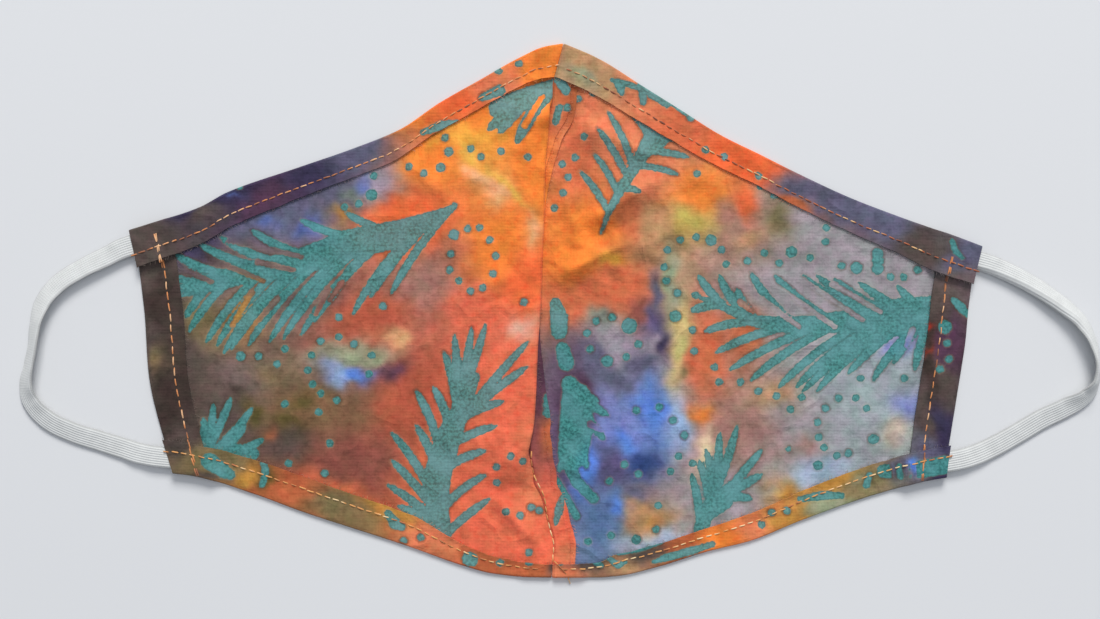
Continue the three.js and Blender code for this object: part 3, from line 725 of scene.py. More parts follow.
# %% Dye pools
dyes = {
    "slate": (98, 98, 122), "indigo": (62, 56, 84), "cornflower": (98, 118, 186),
    "grey_mauve": (122, 104, 102), "umber": (90, 78, 74), "olive": (128, 112, 78),
    "ochre": (206, 146, 70), "lavender": (160, 148, 162), "dusty_mauve": (164, 122, 112),
    "brick": (190, 94, 70), "peach": (240, 180, 130), "straw": (206, 190, 124),
    "ice_blue": (150, 180, 222), "plum": (88, 60, 82), "olive_brown": (132, 100, 74),
    "maroon": (140, 82, 72), "terracotta": (216, 112, 76), "orange": (250, 136, 58),
    "amber": (244, 176, 72), "yellow": (246, 192, 88), "orange_red": (244, 110, 62),
    "coral": (242, 114, 84), "pink": (246, 192, 174), "salmon": (230, 130, 92),
    "rust": (190, 102, 66), "yellow_green": (192, 174, 92), "sage": (154, 162, 132),
    "bright_blue": (90, 136, 224), "periwinkle": (128, 138, 200), "navy": (50, 70, 122),
    "pale_blue": (164, 182, 206), "cream": (236, 208, 172), "grey_lavender": (156, 150, 156),
    "beige": (192, 176, 158), "tan": (188, 142, 104), "red": (196, 60, 40),
    "dark_brown": (66, 54, 50), "violet": (94, 86, 124), "teal_grey": (120, 134, 122),
    "mist": (158, 168, 174), "moss": (92, 84, 42), "denim": (88, 116, 160),
}

# Cloth, then rows: dye, x, y, reach along, reach across, turn in degrees
pool_table = """
left | slate -95 25 16 7 25, indigo -103 17 7 7 0, cornflower -83 27 3 2 0,
  cornflower -72 25 3 2 0, cornflower -53 36 3 2 20, slate -77 31 7 4 20,
  teal_grey -58 33 5 2 20, ochre -62 28 3 2 0, dark_brown -98 14 3 1 -22, ochre -89 9 4 1 -22,
  slate -63 32 7 5 25, grey_mauve -96 7 13 9 0, umber -108 -10 14 5 90, grey_mauve -89 -19 9 7 0,
  umber -95 -31 9 9 0, olive -101 -2 7 6 0, ochre -89 1 6 5 40, grey_mauve -76 4 11 7 0,
  lavender -49 36 5 4 30, dusty_mauve -37 7 9 9 0, brick -49 0 14 6 15, peach -45 -7 3 2 0,
  sage -56 -12 9 2 6, ice_blue -63 -18 3 3 0, bright_blue -58 -17 5 2 5, plum -46 -17 5 3 8,
  olive_brown -69 -27 18 7 0, olive -83 -18 6 4 0, moss -76 -31 6 4 0, maroon -55 -44 13 10 0,
  umber -78 -37 9 6 0, rust -81 -35 3 2 0, moss -72 -25 4 3 0, moss -87 -29 3 3 90,
  dark_brown -92 -23 3 3 90, terracotta -60 -54 14 5 -28, orange -16 59 11 6 30,
  orange -33 44 8 7 0, amber -25 51 7 3 0, peach -22 38 4 2 -40, amber -34 47 3 2 20,
  yellow -24 46 5 2 -45, yellow -14 35 6 1 -48, orange -16 20 9 7 90, peach -17 33 3 3 90,
  peach -8 23 5 2 90, orange -6 43 14 4 90, orange_red -9 10 11 6 90, orange_red -43 25 9 6 0,
  coral -22 0 11 7 0, pink -11 -4 5 3 0, coral -16 -26 14 11 90, coral -22 -54 11 11 0,
  brick -36 -26 13 10 90, brick -46 -27 9 6 90, salmon -7 -46 13 5 90, terracotta -39 -49 9 9 0,
  coral -4 -66 6 6 0;
right | salmon 12 57 10 7 0, terracotta 5 49 11 3 90, orange 9 24 7 6 0, amber 17 15 3 2 0,
  rust 21 27 6 5 -50, salmon 27 38 7 6 0, orange 41 33 7 5 30, yellow_green 39 25 5 4 0,
  tan 29 24 6 6 0, dusty_mauve 53 24 6 6 0, sage 33 9 8 2 90, terracotta 16 4 6 3 0,
  lavender 17 -11 5 3 0, grey_lavender 13 -8 4 3 0, teal_grey 12 -4 3 2 0, orange 5 14 6 5 90,
  terracotta 8 4 6 5 0, slate 29 5 5 1 90, violet 27 -3 4 2 90, indigo 30 -9 3 1 90,
  lavender 27 -7 3 1 90, slate 25 -15 3 2 10, slate 18 -20 5 2 -10, terracotta 20 8 6 5 0,
  maroon 23 0 3 2 90, teal_grey 33 8 5 1 90, olive 37 -18 2 1 90, dusty_mauve 47 -27 4 3 0,
  straw 35 -10 10 2 90, terracotta 42 -12 11 5 90, dusty_mauve 54 -33 10 10 0,
  bright_blue 28 -29 6 4 90, periwinkle 19 -33 6 6 0, ice_blue 35 -31 6 3 90, navy 24 -43 4 3 0,
  bright_blue 19 -38 3 3 0, violet 14 -47 4 4 0, bright_blue 8 -46 5 2 90, denim 14 -61 7 5 90,
  bright_blue 17 -56 2 2 0, tan 25 -60 6 5 0, slate 23 -53 4 2 0, ochre 27 -60 3 3 0,
  cream 43 -39 6 2 90, orange 42 -28 4 2 0, ochre 64 -52 4 3 90, grey_lavender 87 20 20 10 -15,
  mist 85 -24 17 13 0, grey_lavender 70 -31 11 9 0, grey_lavender 70 3 17 11 0,
  beige 96 -35 4 3 0, periwinkle 101 -27 5 3 0, periwinkle 99 -10 5 2 30, pale_blue 76 -45 6 3 0,
  orange_red 54 30 7 3 -80, tan 56 20 5 4 0, olive 64 25 6 3 90, tan 63 -24 8 5 0,
  rust 54 -7 7 5 90, dusty_mauve 70 -37 4 3 0, grey_lavender 47 -52 7 6 0,
  pale_blue 70 -46 7 3 15, pale_blue 31 -67 11 3 -5, slate 10 -15 5 4 0, plum 5 -29 10 3 90;
seam | rust 5 59 11 3 90, salmon 3 43 9 3 90, orange 0 20 14 6 90, plum 1 -14 14 6 90,
  rust -2 -34 5 2 90, indigo 6 -41 5 4 90, coral 0 -62 10 5 90, salmon 5 -70 5 3 0;
left_hem | umber -116 23 5 4 0, indigo -105 29 6 3 20, indigo -95 33 7 3 20,
  cornflower -92 34 2 1 0, umber -101 27 5 2 20, plum -83 33 6 3 20, indigo -72 38 7 3 20,
  slate -56 46 9 3 25, orange -41 54 6 3 25, orange_red -29 59 7 3 25, salmon -16 65 7 3 30,
  orange -4 71 6 4 20, umber -117 14 6 5 90, dark_brown -114 2 6 3 90, umber -116 -9 9 3 90,
  olive -114 -14 3 2 90, dark_brown -110 -26 8 3 90, umber -108 -37 5 3 90, olive -102 -44 5 3 0,
  ochre -89 -48 3 2 0, olive -95 -43 4 2 0, umber -98 -49 3 1 0, moss -83 -49 2 2 0,
  rust -76 -52 7 4 -15, olive -64 -57 6 3 -15, ochre -48 -57 5 2 -15, salmon -35 -65 7 3 -20,
  rust -21 -70 8 3 -15, rust -8 -73 7 3 0, umber 0 -74 2 2 0;
right_hem | tan 8 72 5 3 -20, sage 10 68 4 2 -30, tan 16 66 5 2 -30, salmon 26 61 7 3 -35,
  terracotta 37 54 6 3 -30, orange_red 52 44 9 4 -25, slate 70 35 7 3 -20, rust 68 31 6 2 -20,
  slate 81 29 6 3 -20, slate 93 27 6 3 -20, umber 106 20 6 3 -20, slate 117 16 5 3 0,
  grey_mauve 114 10 3 3 0, umber 111 4 5 3 90, plum 114 -7 5 2 90, dark_brown 109 -13 8 1 90,
  red 108 -4 1 1 0, red 109 -11 1 1 90, umber 112 -21 4 2 90, indigo 111 -35 4 2 90,
  umber 106 -29 4 1 90, slate 107 -41 3 2 0, sage 87 -48 3 2 20, bright_blue 101 -45 1 1 0,
  slate 97 -46 2 2 0, indigo 108 -46 2 2 0, olive 87 -49 5 3 15, ochre 80 -48 6 2 15,
  sage 76 -56 6 2 15, ochre 66 -59 5 3 18, salmon 57 -62 5 3 18, orange 47 -65 7 3 15,
  rust 36 -68 5 3 10, umber 26 -70 6 2 8, tan 19 -73 6 2 5, umber 10 -73 4 2 0,
  salmon 3 -75 4 2 0
"""
pools = {entry[0][0]: rows for entry, rows in entries_in(pool_table)}
print("dye pools:", {sheet: len(rows) for sheet, rows in pools.items()})

# %% Fronds
# Cloths, leaf half-width and slant, then the spine as x, y, half-width, the tips of the leaves as
# x, y, and slits as x, y to x, y where the wax was scraped off
frond_table = """
left 1.2 1.5 | -29 30 0.3, -36 26 2.3, -45 22 4, -59 19 4.3, -73 14 3.7, -88 11 3.2, -99 8 2.6,
  -109 5 1.7 | -87 23, -96 21, -102 19, -109 16, -110 10, -100 -9, -93 -11, -88 -10, -82 -9,
  -73 -7, -65 2, -58 -1, -53 4, -47 5, -106 -2, -60 28, -73 26, -95 -12, -105 -6, -69 -3,
  -106 12, -78 -8, -97 -10 | -105.2 17.4 -83.7 8.5, -85.4 13.9 -75.1 11.6, -93.4 20.2 -72.8 15.4,
  -106.9 11.9 -98.6 8.2, -87.1 5.3 -92.8 -4.4, -79.9 3.3 -86.2 -3.9, -65.3 5.9 -68.7 -1,
  -61.3 7.9 -64.7 3, -52.7 13.9 -55 7.6;
left 1.25 1.1 | -31 -64 1.4, -34 -56 3.2, -34 -48 4, -31 -37 3.7, -27 -28 2.6, -23 -19 1.4
  | -32 -12, -29 -7, -24 -5, -20 -4, -8 -9, -8 -16, -40 -23, -35 -22, -47 -35, -40 -33, -47 -43,
  -48 -50, -15 -26, -17 -33, -20 -40, -20 -47, -19 -54, -45 -56 |;
left 1.2 0.9 | -101 -42 2.3, -95 -40 2.6, -87 -41 2 | -98 -27, -93 -25, -87 -28, -101 -31,
  -89 -33, -84 -37 |;
left 1.7 1.5 | 0 64 2.6, -7 61 3.4, -16 58 3.2 | -19 52, -11 48, -19 61, -16 51
  | -8.8 52.7 -3.6 61.3;
hem 1.4 1.5 | -38 51 0.9, -33 53 1.4, -28 54 0.6 | |;
hem 1.5 1.5 | -21 61 1.1, -16 63 1.7 | |;
right 1 0.55 | 13 22 0.4, 15 28 0.9, 19 35 1.4, 25 45 2, 29 50 3.7, 32 56 3.7 | 7 40, 11 45,
  12 52, 15 57, 20 59, 38 44, 35 39, 39 49, 24 34 |;
hem 1.1 0.8 | 16 66 0.6, 24 64 1.1, 32 59 1.1 | 19 62, 25 59 |;
hem 1.1 1.5 | 32 61 0.9, 37 57 0.9 | |;
right 1.25 1.5 | 108 -1 5.2, 100 -2 5.7, 93 -2 4.9, 85 -3 3.4, 73 -4 2.6, 64 -4 2.3, 57 -3 1.7,
  48 1 1.1, 41 4 0.6 | 56 11, 63 10, 71 10, 80 9, 87 8, 98 7, 75 10, 52 6, 47 10, 41 10, 39 0,
  43 -6, 46 -12, 50 -17, 56 -20, 64 -22, 75 -23, 79 -19, 84 -18, 91 -20, 97 -15, 103 -17, 69 -22,
  71 -23 | 59 3.3 69.9 -4.7, 61.3 8.2 80.2 -4.7, 70.2 9 88 -2.7, 53 2.4 56.4 -0.4,
  53.5 -11.3 58.7 -8.5, 79.4 7.6 93.1 -0.4, 102.3 -5.6 100.6 -10.2;
right 1.25 0.8 | 41 -65 1.7, 43 -58 2.6, 48 -54 3.2, 52 -49 1.4 | 43 -40, 47 -35, 52 -33, 59 -40,
  59 -47, 39 -47, 41 -43, 56 -54 |;
right seam 1.3 1.5 | 0 2 1.7, 1 -2 2.6, 1 -6 2.3 | |;
right seam 1.3 1.5 | 2 -11 2, 3 -15 2.3 | |;
right 1.3 1.5 | 4 -21 2.3, 6 -25 4.3, 6 -33 4.9, 5 -41 4.3 | 12 -26, 15 -30, 14 -37, 9 -45, 1 -46
  | 9.9 -32.6 12.8 -34.3, 0.1 -32.6 0.1 -38.9;
right 1.6 1.5 | 3 -42 2, 6 -49 1.7, 11 -54 1.4 | |;
right 1.4 1.5 | 0 -49 1.4, 3 -54 1.4, 6 -59 1.1 | |;
seam 1.2 1.5 | 1 66 1.4, 3 63 1.4 | |;
seam 1.2 1.5 | 1 58 1.1, 0 54 1.1 | |;
seam 1.3 1.5 | 4 -21 2.3, 6 -25 4.3, 6 -33 4.9, 5 -41 4.3 | 1 -46 |;
seam 1.2 1.5 | -2 -25 1.4, -2 -29 1.7 | |;
seam 1.5 1.5 | 2 -53 0.6, 1 -57 1.4, 0 -61 0.6 | |;
hem 1.6 1.5 | -99 -43 2.3, -95 -46 2, -93 -47 1.4 | |;
hem 1.5 1.5 | -84 -42 0.9, -83 -46 1.1, -84 -50 0.9 | |;
hem 1.5 1.5 | -48 -58 1.1, -46 -61 1.7, -44 -62 1.1 | |;
hem 1.8 1.5 | 114 3 0.9, 116 1 1.4, 118 -1 1.1 | |;
hem 1.2 1.5 | 113 20 0.7, 114 17 0.9, 116 15 0.6 | |;
hem 1.6 1.5 | 111 -44 2.6, 106 -45 2.6, 99 -46 2.3, 94 -46 2 | | 101.7 -41.5 102.3 -48.6,
  99.7 -41.8 100.3 -48.6, 96.6 -42.9 97.1 -49.2;
hem 1.4 1.5 | 90 -47 0.9, 89 -50 1.1 | |;
hem 1.5 1.5 | 45 -67 0.9, 39 -69 1.4, 31 -71 1.1 | |;
hem 1.5 1.5 | 30 -66 0.9, 24 -68 1.1, 18 -69 1.1 | |;
hem 1.2 1.5 | 28 -72 0.6, 35 -70 1.1, 41 -68 0.6 | |;
hem 1.2 1.5 | 9 -70 0.9, 13 -73 0.9 | |;
hem 1.2 1.5 | 14 -70 0.6, 18 -73 1.1, 20 -72 0.6 | |;
hem 1.2 1.5 | 70 -54 0.9, 76 -53 1.4, 82 -53 0.9 | |
"""
fronds = entries_in(frond_table)
print("fronds:", len(fronds))

# %% Dots of wax
# Cloth and half-width, then places as x, y
dot_table = """
left 1.15 | -25.1 23.4, -21.7 23.7, -18.8 20.2, -17.1 15.6, -17.9 10.5, -20.8 6.5, -24.3 5.6,
  -27.7 8.5, -30.3 11.6, -30 16.2, -9 2.4, -49.5 1.3, -62.1 -1.9, -62.1 -7.6, -57.8 -9.6,
  -53.5 -18.2, -52.7 -12.8, -31.7 49.5, -37.7 39.2, -42 41.2, -24.3 46.4, -21.4 44.1, -15.6 45.5,
  -7.9 43.8, -10.5 70.7, -16.2 68.7, -52.1 38.6, -56.4 30.6, -60.4 29.7, -109.2 -5.6,
  -85.1 -13.1, -77.6 -11, -79.9 -15.4, -67.3 -8.8, -69.9 -12.8, -71 -17.1, -69.6 -21.1,
  -67.3 -23.7, -62.7 -25.7, -77.6 -26.8, -67.9 -29.1, -64.7 -38, -66.2 -46.6, -76.5 -43.8,
  -12.8 -41.5, -9.3 -42.9, -16.8 -44.6, -16.8 -49.2, -14.2 -57.5, -10.2 -58.7, -7 -56.4,
  -4.7 -57.3, -38.6 -65, -43.5 -65.9, -7.6 -69.3;
left 1.43 | -30.6 45.5, -32.9 40.9, -90.3 -13.1;
left 1.58 | -29.1 21.7;
left 1.72 | -52.7 33.1, -24.5 -70.2;
right 0.86 | 66.7 -39.7;
right 1.15 | 14.8 62.7, 10.8 62.4, 6.5 60.7, 3.3 58.1, 8.2 49.8, 5.6 43.8, 1.9 42, 3.6 38.3,
  2.2 33.7, -0.4 29.4, 40.6 39.2, 35.7 20.2, 40.3 21.1, 47.5 17.4, 48.9 13.3, 55 14.2, 59.8 16.5,
  32 17.4, 31.1 12.5, 31.7 8.5, 34.9 5, 40 4.4, 39.2 -5.6, 39.7 -11.6, 45.5 -16.2, 46.9 -20.5,
  53 -20.5, 58.1 -23.1, 11.6 -3, 16.2 -1.9, 9 -6.5, 23.7 -9.6, 20.2 -13.3, 9.9 -11, 23.1 -28.6,
  29.7 -27.7, 33.7 -31.4, 36.9 -35.7, 35.2 -41.8, 39.2 -43.8, 19.7 -44.1, 15.4 -48.9, 23.7 -46.9,
  32.9 -46.1, 29.4 -55.8, 9.3 -66.2, 15.9 -64.4, 28.8 -62.7, 48.4 44.1, 58.1 39.7, 58.7 35.7,
  62.1 36.6, 69 36.3, 62.7 33.1, 77.6 23.7, 77.3 19.7, 64.1 13.6, 73 15.1, 81.9 12.8, 96 9.6,
  99.7 9.6, 103.8 11.6, 63.3 -24.5, 67.3 -28.3, 70.5 -24.8, 77.3 -28, 81.1 -25.1, 86 -25.1,
  89.1 -28, 75.1 -32, 75.3 -36.3, 76.8 -39.2, 80.5 -41.5, 83.9 -40.9, 87.4 -19.4, 100 -19.4,
  106 -19.4, 66.2 -59.3, 59 -63, 61.8 -58.7;
right 1.43 | 23.1 -65.6, 75.1 -44.3;
right 1.58 | 91.1 -36.9;
right 1.72 | 44.6 20.2, 34.3 -1.6, 14.8 -14.5, 67.6 16.8, 86.2 12.2, 92.3 16.2, 92.3 14.2,
  92.3 11.9;
right 2.3 | 21.1 -4.4;
hem 0.86 | -90.5 35.7;
hem 1.15 | -10.5 70.7, -16.2 68.7, -38.6 -65, -43.5 -65.9, -7.6 -71.9, 42.9 46.1, 48.4 44.1,
  58.1 38.6, 66.2 -57.3, 59 -61.3, 61.8 -57.8, 112.1 -9.3, 112.6 -13.9, 110.1 -16.8, -15.9 -72.2,
  1.3 -71.6, 38.6 55.2, 30 63.3;
hem 2.01 | 111.5 -4.7;
hem 2.3 | -24.5 -71.3;
seam 1.15 | 3.3 58.1, 1.9 42, 3.6 38.3, -0.4 29.4
"""
dots = entries_in(dot_table)
print("dots:", sum(len(places) for head, places in dots))

# %% Colour from the pools
# Rows: how far the wet cloth pushed the dye, size of that push, seed
pushes = [(3, 22, 0), (2.4, 7, 1), (1, 2.6, 2)]
pool_core, pool_fall, gamma = 0.5, 2.1, 2.2


def pushed(x, y, seed):
    return sum(far * crumple(x, y, size, seed + more) for far, size, more in pushes)


def bleed(places, sheet):
    """Colour with alpha at flat places, from the pools of one sheet of cloth"""
    x, y = places.T
    x, y = x + pushed(x, y, 41.5), y + pushed(x, y, 57.3)
    total, colour = np.zeros(len(x)), np.zeros((len(x), 3))
    for dye, mid_x, mid_y, long, wide, turn in pools[sheet]:
        cos, sin = math.cos(math.radians(turn)), math.sin(math.radians(turn))
        along = ((x - mid_x) * cos + (y - mid_y) * sin) / long
        across = ((y - mid_y) * cos - (x - mid_x) * sin) / wide
        weight = (pool_core + along ** 2 + across ** 2) ** -pool_fall
        total += weight
        colour += weight[:, None] * np.array(dyes[dye]) / 255
    return np.column_stack([(colour / total[:, None]) ** gamma, np.ones(len(x))])


# %% Strokes of wax
def stroke(places, line, distance):
    """Lower the distances near a line of (x, y, half-width) rows"""
    line = np.array(line, float)
    for a, b in zip(line[:-1], line[1:]):
        way = b[:2] - a[:2]
        share = np.clip((places - a[:2]) @ way / max(way @ way, 1e-6), 0, 1)
        away = np.linalg.norm(places - a[:2] - share[:, None] * way, axis=1)
        np.minimum(distance, away - mix(a[2], b[2], share), out=distance)


# Shares of the way along a leaf, and its width there
leaf_steps = np.array([0, 0.25, 0.5, 0.75, 0.92, 1])
leaf_widths = np.array([0.8, 1, 1.05, 1, 0.75, 0.35])


def leaf(spine, tip, half_width, slant):
    """One leaf: it leaves the spine behind the place nearest to its tip and bows towards it"""
    fine = np.concatenate([mix(a, b, np.linspace(0, 1, 12)[:, None])
                           for a, b in zip(spine[:-1], spine[1:])])
    away = np.linalg.norm(fine[:, :2] - tip, axis=1)
    nearest = int(away.argmin())
    way = np.cumsum(np.linalg.norm(np.diff(fine[:, :2], axis=0, prepend=fine[:1, :2]), axis=1))
    start = int(np.searchsorted(way, way[nearest] - slant * away[nearest]))
    base, middle = fine[start, :2], fine[nearest, :2]
    bow = mix(mix(base, tip, 0.5), middle, 0.22)
    t = leaf_steps[:, None]
    line = (1 - t) ** 2 * base + 2 * t * (1 - t) * bow + t * t * np.array(tip)
    return np.column_stack([line, half_width * leaf_widths])


# %% Distance to the wax
far_away, margin = 5.0, 8
slit_start, slit_end = 1.0, 0.7


def wax_edge(places, sheet):
    """Distance in millimetres to the edge of the nearest frond or dot, less than 0 inside"""
    distance = np.full(len(places), far_away)
    sheet = sheet.split("_")[-1]
    for head, spine, tips, slits in fronds:
        *sheets, half_width, slant = head[0]
        if sheet not in sheets:
            continue
        spine = np.array(spine)
        reach = np.array(spine[:, :2].tolist() + tips)
        near = ((places > reach.min(0) - margin) & (places < reach.max(0) + margin)).all(1)
        found = distance[near]
        stroke(places[near], spine, found)
        for tip in tips:
            stroke(places[near], leaf(spine, tip, half_width, slant), found)
        for ax, ay, bx, by in slits:
            slit = np.full(len(found), far_away)
            stroke(places[near], [(ax, ay, slit_start), (bx, by, slit_end)], slit)
            np.maximum(found, -slit, out=found)
        distance[near] = found
    for ((on_sheet, half_width),), middles in dots:
        for x, y in middles if on_sheet == sheet else []:
            away = np.hypot(places[:, 0] - x, places[:, 1] - y) - half_width
            np.minimum(distance, away, out=distance)
    return distance


# %% Paint the cloth
def paint(piece, sheet):
    """Store the dye and the wax at each vertex; both sides of a sheet have the same"""
    places = flat_places[piece.name]
    colour, wax = bleed(places, sheet), wax_edge(places, sheet)
    store(piece.data, "dye", "FLOAT_COLOR", "color", np.concatenate([colour, colour]))
    store(piece.data, "wax", "FLOAT", "value", np.concatenate([wax, wax]))
    return round(float((wax < 0).mean()), 2)


print("share under wax:", paint(left_panel, "left"), paint(right_panel, "right"),
      [paint(strip, "seam") for strip in seam_strips],
      [paint(one, one.name.split("_")[0] + "_hem") for one in hems])

# %% [markdown]
# ## Materials
# All the cloth is one cotton: a plain weave of threads about 0.4 mm apart, thicker here and
# there, with no shine. The print's edge is ragged because wax creeps along the threads, and dye
# gathers along it in a paler or darker line. The elastic is a white knit, and the sewing thread
# is a variegated orange, so its colour changes every few stitches.

# %% Node helpers
def node(tree, kind, settings=None, inputs=None, output=0):
    """Add a node. An input is a number, a colour or the output of another node."""
    made = tree.nodes.new(kind)
    for key, value in (settings or {}).items():
        setattr(made, key, value)
    for key, value in (inputs or {}).items():
        if isinstance(value, bpy.types.NodeSocket):
            tree.links.new(value, made.inputs[key])
        else:
            made.inputs[key].default_value = value
    return made.outputs[output]


def sums(tree, how, a, b):
    return node(tree, "ShaderNodeMath", {"operation": how}, {0: a, 1: b})


def ramp(tree, value, low, high, to_low=0.0, to_high=1.0):
    return node(tree, "ShaderNodeMapRange", {}, {0: value, 1: low, 2: high, 3: to_low, 4: to_high})


def blend(tree, share, a, b, how="MIX"):
    return node(tree, "ShaderNodeMix", {"data_type": "RGBA", "blend_type": how},
                {0: share, 6: a, 7: b}, 2)


def times(tree, a, b):
    return blend(tree, 1.0, a, b, "MULTIPLY")


def grain(tree, place, scale, detail=2.0, stretch=(1, 1, 1)):
    """Noise at a place, with scale in lumps for each millimetre"""
    place = node(tree, "ShaderNodeVectorMath", {"operation": "MULTIPLY"}, {0: place, 1: stretch})
    return node(tree, "ShaderNodeTexNoise", {}, {"Vector": place, "Scale": scale,
                                                 "Detail": detail})


def waves(tree, place, way, pitch, distortion=0.0):
    """Soft ridges across one direction, at a pitch in millimetres"""
    return node(tree, "ShaderNodeTexWave", {"bands_direction": way},
                {"Vector": place, "Scale": math.pi / 10 / pitch, "Distortion": distortion}, "Fac")


# %% Start and finish a material
def new_material(name, roughness, specular, sheen=0.0):
    material = bpy.data.materials.new(name)
    material.use_nodes = True
    tree = material.node_tree
    shader = tree.nodes["Principled BSDF"]
    values = {"Roughness": roughness, "Specular IOR Level": specular, "Sheen Weight": sheen}
    for key, value in values.items():
        shader.inputs[key].default_value = value
    return material, tree, shader


def finish(tree, shader, colour, *heights):
    """Join a colour and heights to the shader. Each height comes with its depth in millimetres."""
    tree.links.new(colour, shader.inputs["Base Color"])
    bump = None
    for height, depth in heights:
        below = {"Normal": bump} if bump else {}
        bump = node(tree, "ShaderNodeBump", {},
                    {"Height": height, "Distance": depth * MM, **below})
        tree.links.new(bump, shader.inputs["Normal"])


# %% The ground's dye and the teal under the wax
warm_tint, cool_tint = (1.08, 0.99, 1.02, 1), (0.9, 0.99, 0.92, 1)
pale_line, dark_line = (0.56, 0.47, 0.26, 1), (0.16, 0.12, 0.13, 1)
deep_teal, middle_teal = (0.02, 0.14, 0.13, 1), (0.06, 0.295, 0.275, 1)
pale_teal, rim_teal = (0.115, 0.34, 0.355, 1), (0.05, 0.14, 0.13, 1)


def dyed_ground(tree, flat, dye, edge):
    """Wet dye dries in clouds and streaks, and gathers here and there along the wax"""
    cloud = ramp(tree, grain(tree, flat, 0.16, 6.0), 0.3, 0.7, 0.74, 1.16)
    streak = ramp(tree, grain(tree, flat, 0.5, 4.0), 0.5, 0.72, 0.0, 0.3)
    ground = blend(tree, streak, times(tree, dye, cloud), times(tree, dye, dye))
    hue = ramp(tree, grain(tree, flat, 0.24, 3.0), 0.36, 0.64)
    ground = times(tree, ground, blend(tree, hue, cool_tint, warm_tint))
    ground = blend(tree, ramp(tree, edge, 0.6, 0.1, 0.0, 0.12), ground, pale_line)
    gathered = sums(tree, "MULTIPLY", ramp(tree, edge, 0.7, 0.15),
                    ramp(tree, grain(tree, flat, 0.1, 3.0), 0.44, 0.6, 0.0, 0.6))
    return blend(tree, gathered, ground, times(tree, ground, dark_line))


def teal_under_wax(tree, flat, dye, edge):
    """The teal is speckled, paler in patches and darker along its rim"""
    spots = ramp(tree, grain(tree, flat, 1.2, 4.0), 0.37, 0.61)
    pale = ramp(tree, grain(tree, flat, 0.15, 4.0), 0.38, 0.66, 0.0, 0.75)
    teal = blend(tree, pale, blend(tree, spots, deep_teal, middle_teal), pale_teal)
    teal = blend(tree, 0.09, teal, dye)
    rim = ramp(tree, sums(tree, "ABSOLUTE", sums(tree, "ADD", edge, 0.14), 0.0), 0.24, 0.05)
    return blend(tree, sums(tree, "MULTIPLY", rim, 0.55), teal, rim_teal)


# %% Printed cotton
thread_pitch = 0.42


def printed_cotton(name):
    material, tree, shader = new_material(name, 0.92, 0.18, 0.08)
    flat = node(tree, "ShaderNodeUVMap", {"uv_map": "UVMap"})
    dye = node(tree, "ShaderNodeAttribute", {"attribute_name": "dye"}, output="Color")
    wax = node(tree, "ShaderNodeAttribute", {"attribute_name": "wax"}, output="Fac")
    creep = ramp(tree, grain(tree, flat, 0.9, 4.0), 0.25, 0.75, -0.24, 0.24)
    edge = sums(tree, "ADD", wax, creep)
    colour = blend(tree, ramp(tree, edge, 0.1, -0.1), dyed_ground(tree, flat, dye, edge),
                   teal_under_wax(tree, flat, dye, edge))
    slubs = sums(tree, "ADD", grain(tree, flat, 1.0, 2.0, (0.4, 2.4, 1)),
                 grain(tree, flat, 1.0, 2.0, (2.4, 0.4, 1)))
    colour = times(tree, colour, ramp(tree, slubs, 0.7, 1.3, 0.955, 1.045))
    weave = sums(tree, "MULTIPLY", *[waves(tree, flat, way, thread_pitch) for way in ("X", "Y")])
    weave = sums(tree, "ADD", weave, sums(tree, "MULTIPLY", slubs, 0.4))
    soft = grain(tree, flat, 0.085, 4.0)
    fold = sums(tree, "ABSOLUTE", sums(tree, "SUBTRACT", grain(tree, flat, 0.05, 2.0), 0.5), 0.0)
    fold = ramp(tree, fold, 0.0, 0.06, 1.0, 0.0)
    finish(tree, shader, colour, (soft, 2.1), (fold, 0.24), (weave, 0.07))
    return material


cottons = {name: printed_cotton(name + "_cotton") for name in ("left", "right", "hem", "seam")}
print("cottons:", [one.name for one in cottons.values()])

# %% Elastic, thread and table
row_pitch, rib_pitch = 0.7, 0.667
elastic_white = (0.65, 0.662, 0.654, 1)


def knitted_elastic():
    material, tree, shader = new_material("white_elastic", 0.8, 0.3, 0.1)
    flat = node(tree, "ShaderNodeUVMap", {"uv_map": "UVMap"})
    rows = waves(tree, flat, "X", row_pitch, 0.6)
    ribs = waves(tree, flat, "Y", rib_pitch)
    worn = ramp(tree, grain(tree, flat, 0.3, 3.0), 0.3, 0.7, 0.94, 1.04)
    across = node(tree, "ShaderNodeSeparateXYZ", {}, {"Vector": flat}, "Y")
    # Painted shade: the colour is darkened to two thirds along both edges of the band, for the
    # edges in shade.
    edge = ramp(tree, sums(tree, "ABSOLUTE", across, 0.0), 2.5, 2.95, 1.0, 0.66)
    # The rib wave darkens the colour in the grooves and lightens it on the crests: painted shade
    # and painted highlight. Worn is a random tone.
    wear_and_painted_shade = sums(tree, "MULTIPLY", worn, ramp(tree, ribs, 0.0, 1.0, 0.975, 1.02))
    wear_and_painted_shade = sums(tree, "MULTIPLY", wear_and_painted_shade, edge)
    colour = times(tree, elastic_white, wear_and_painted_shade)
    height = sums(tree, "ADD", sums(tree, "MULTIPLY", rows, 0.5), ribs)
    finish(tree, shader, colour, (height, 0.05))
    return material


def sewing_thread(name, main, pale, dark):
    material, tree, shader = new_material(name, 0.6, 0.4, 0.1)
    place = node(tree, "ShaderNodeTexCoord", output="Object")
    change = grain(tree, place, 170.0, 1.0)
    colour = blend(tree, ramp(tree, change, 0.52, 0.62), main, pale)
    colour = blend(tree, ramp(tree, change, 0.44, 0.36), colour, dark)
    finish(tree, shader, colour)
    return material


def pale_table():
    material, tree, shader = new_material("pale_table", 0.7, 0.2)
    place = node(tree, "ShaderNodeTexCoord", output="Object")
    cloud = grain(tree, place, 3.0, 2.0)
    finish(tree, shader, blend(tree, cloud, (0.69, 0.70, 0.716, 1), (0.72, 0.73, 0.746, 1)))
    return material


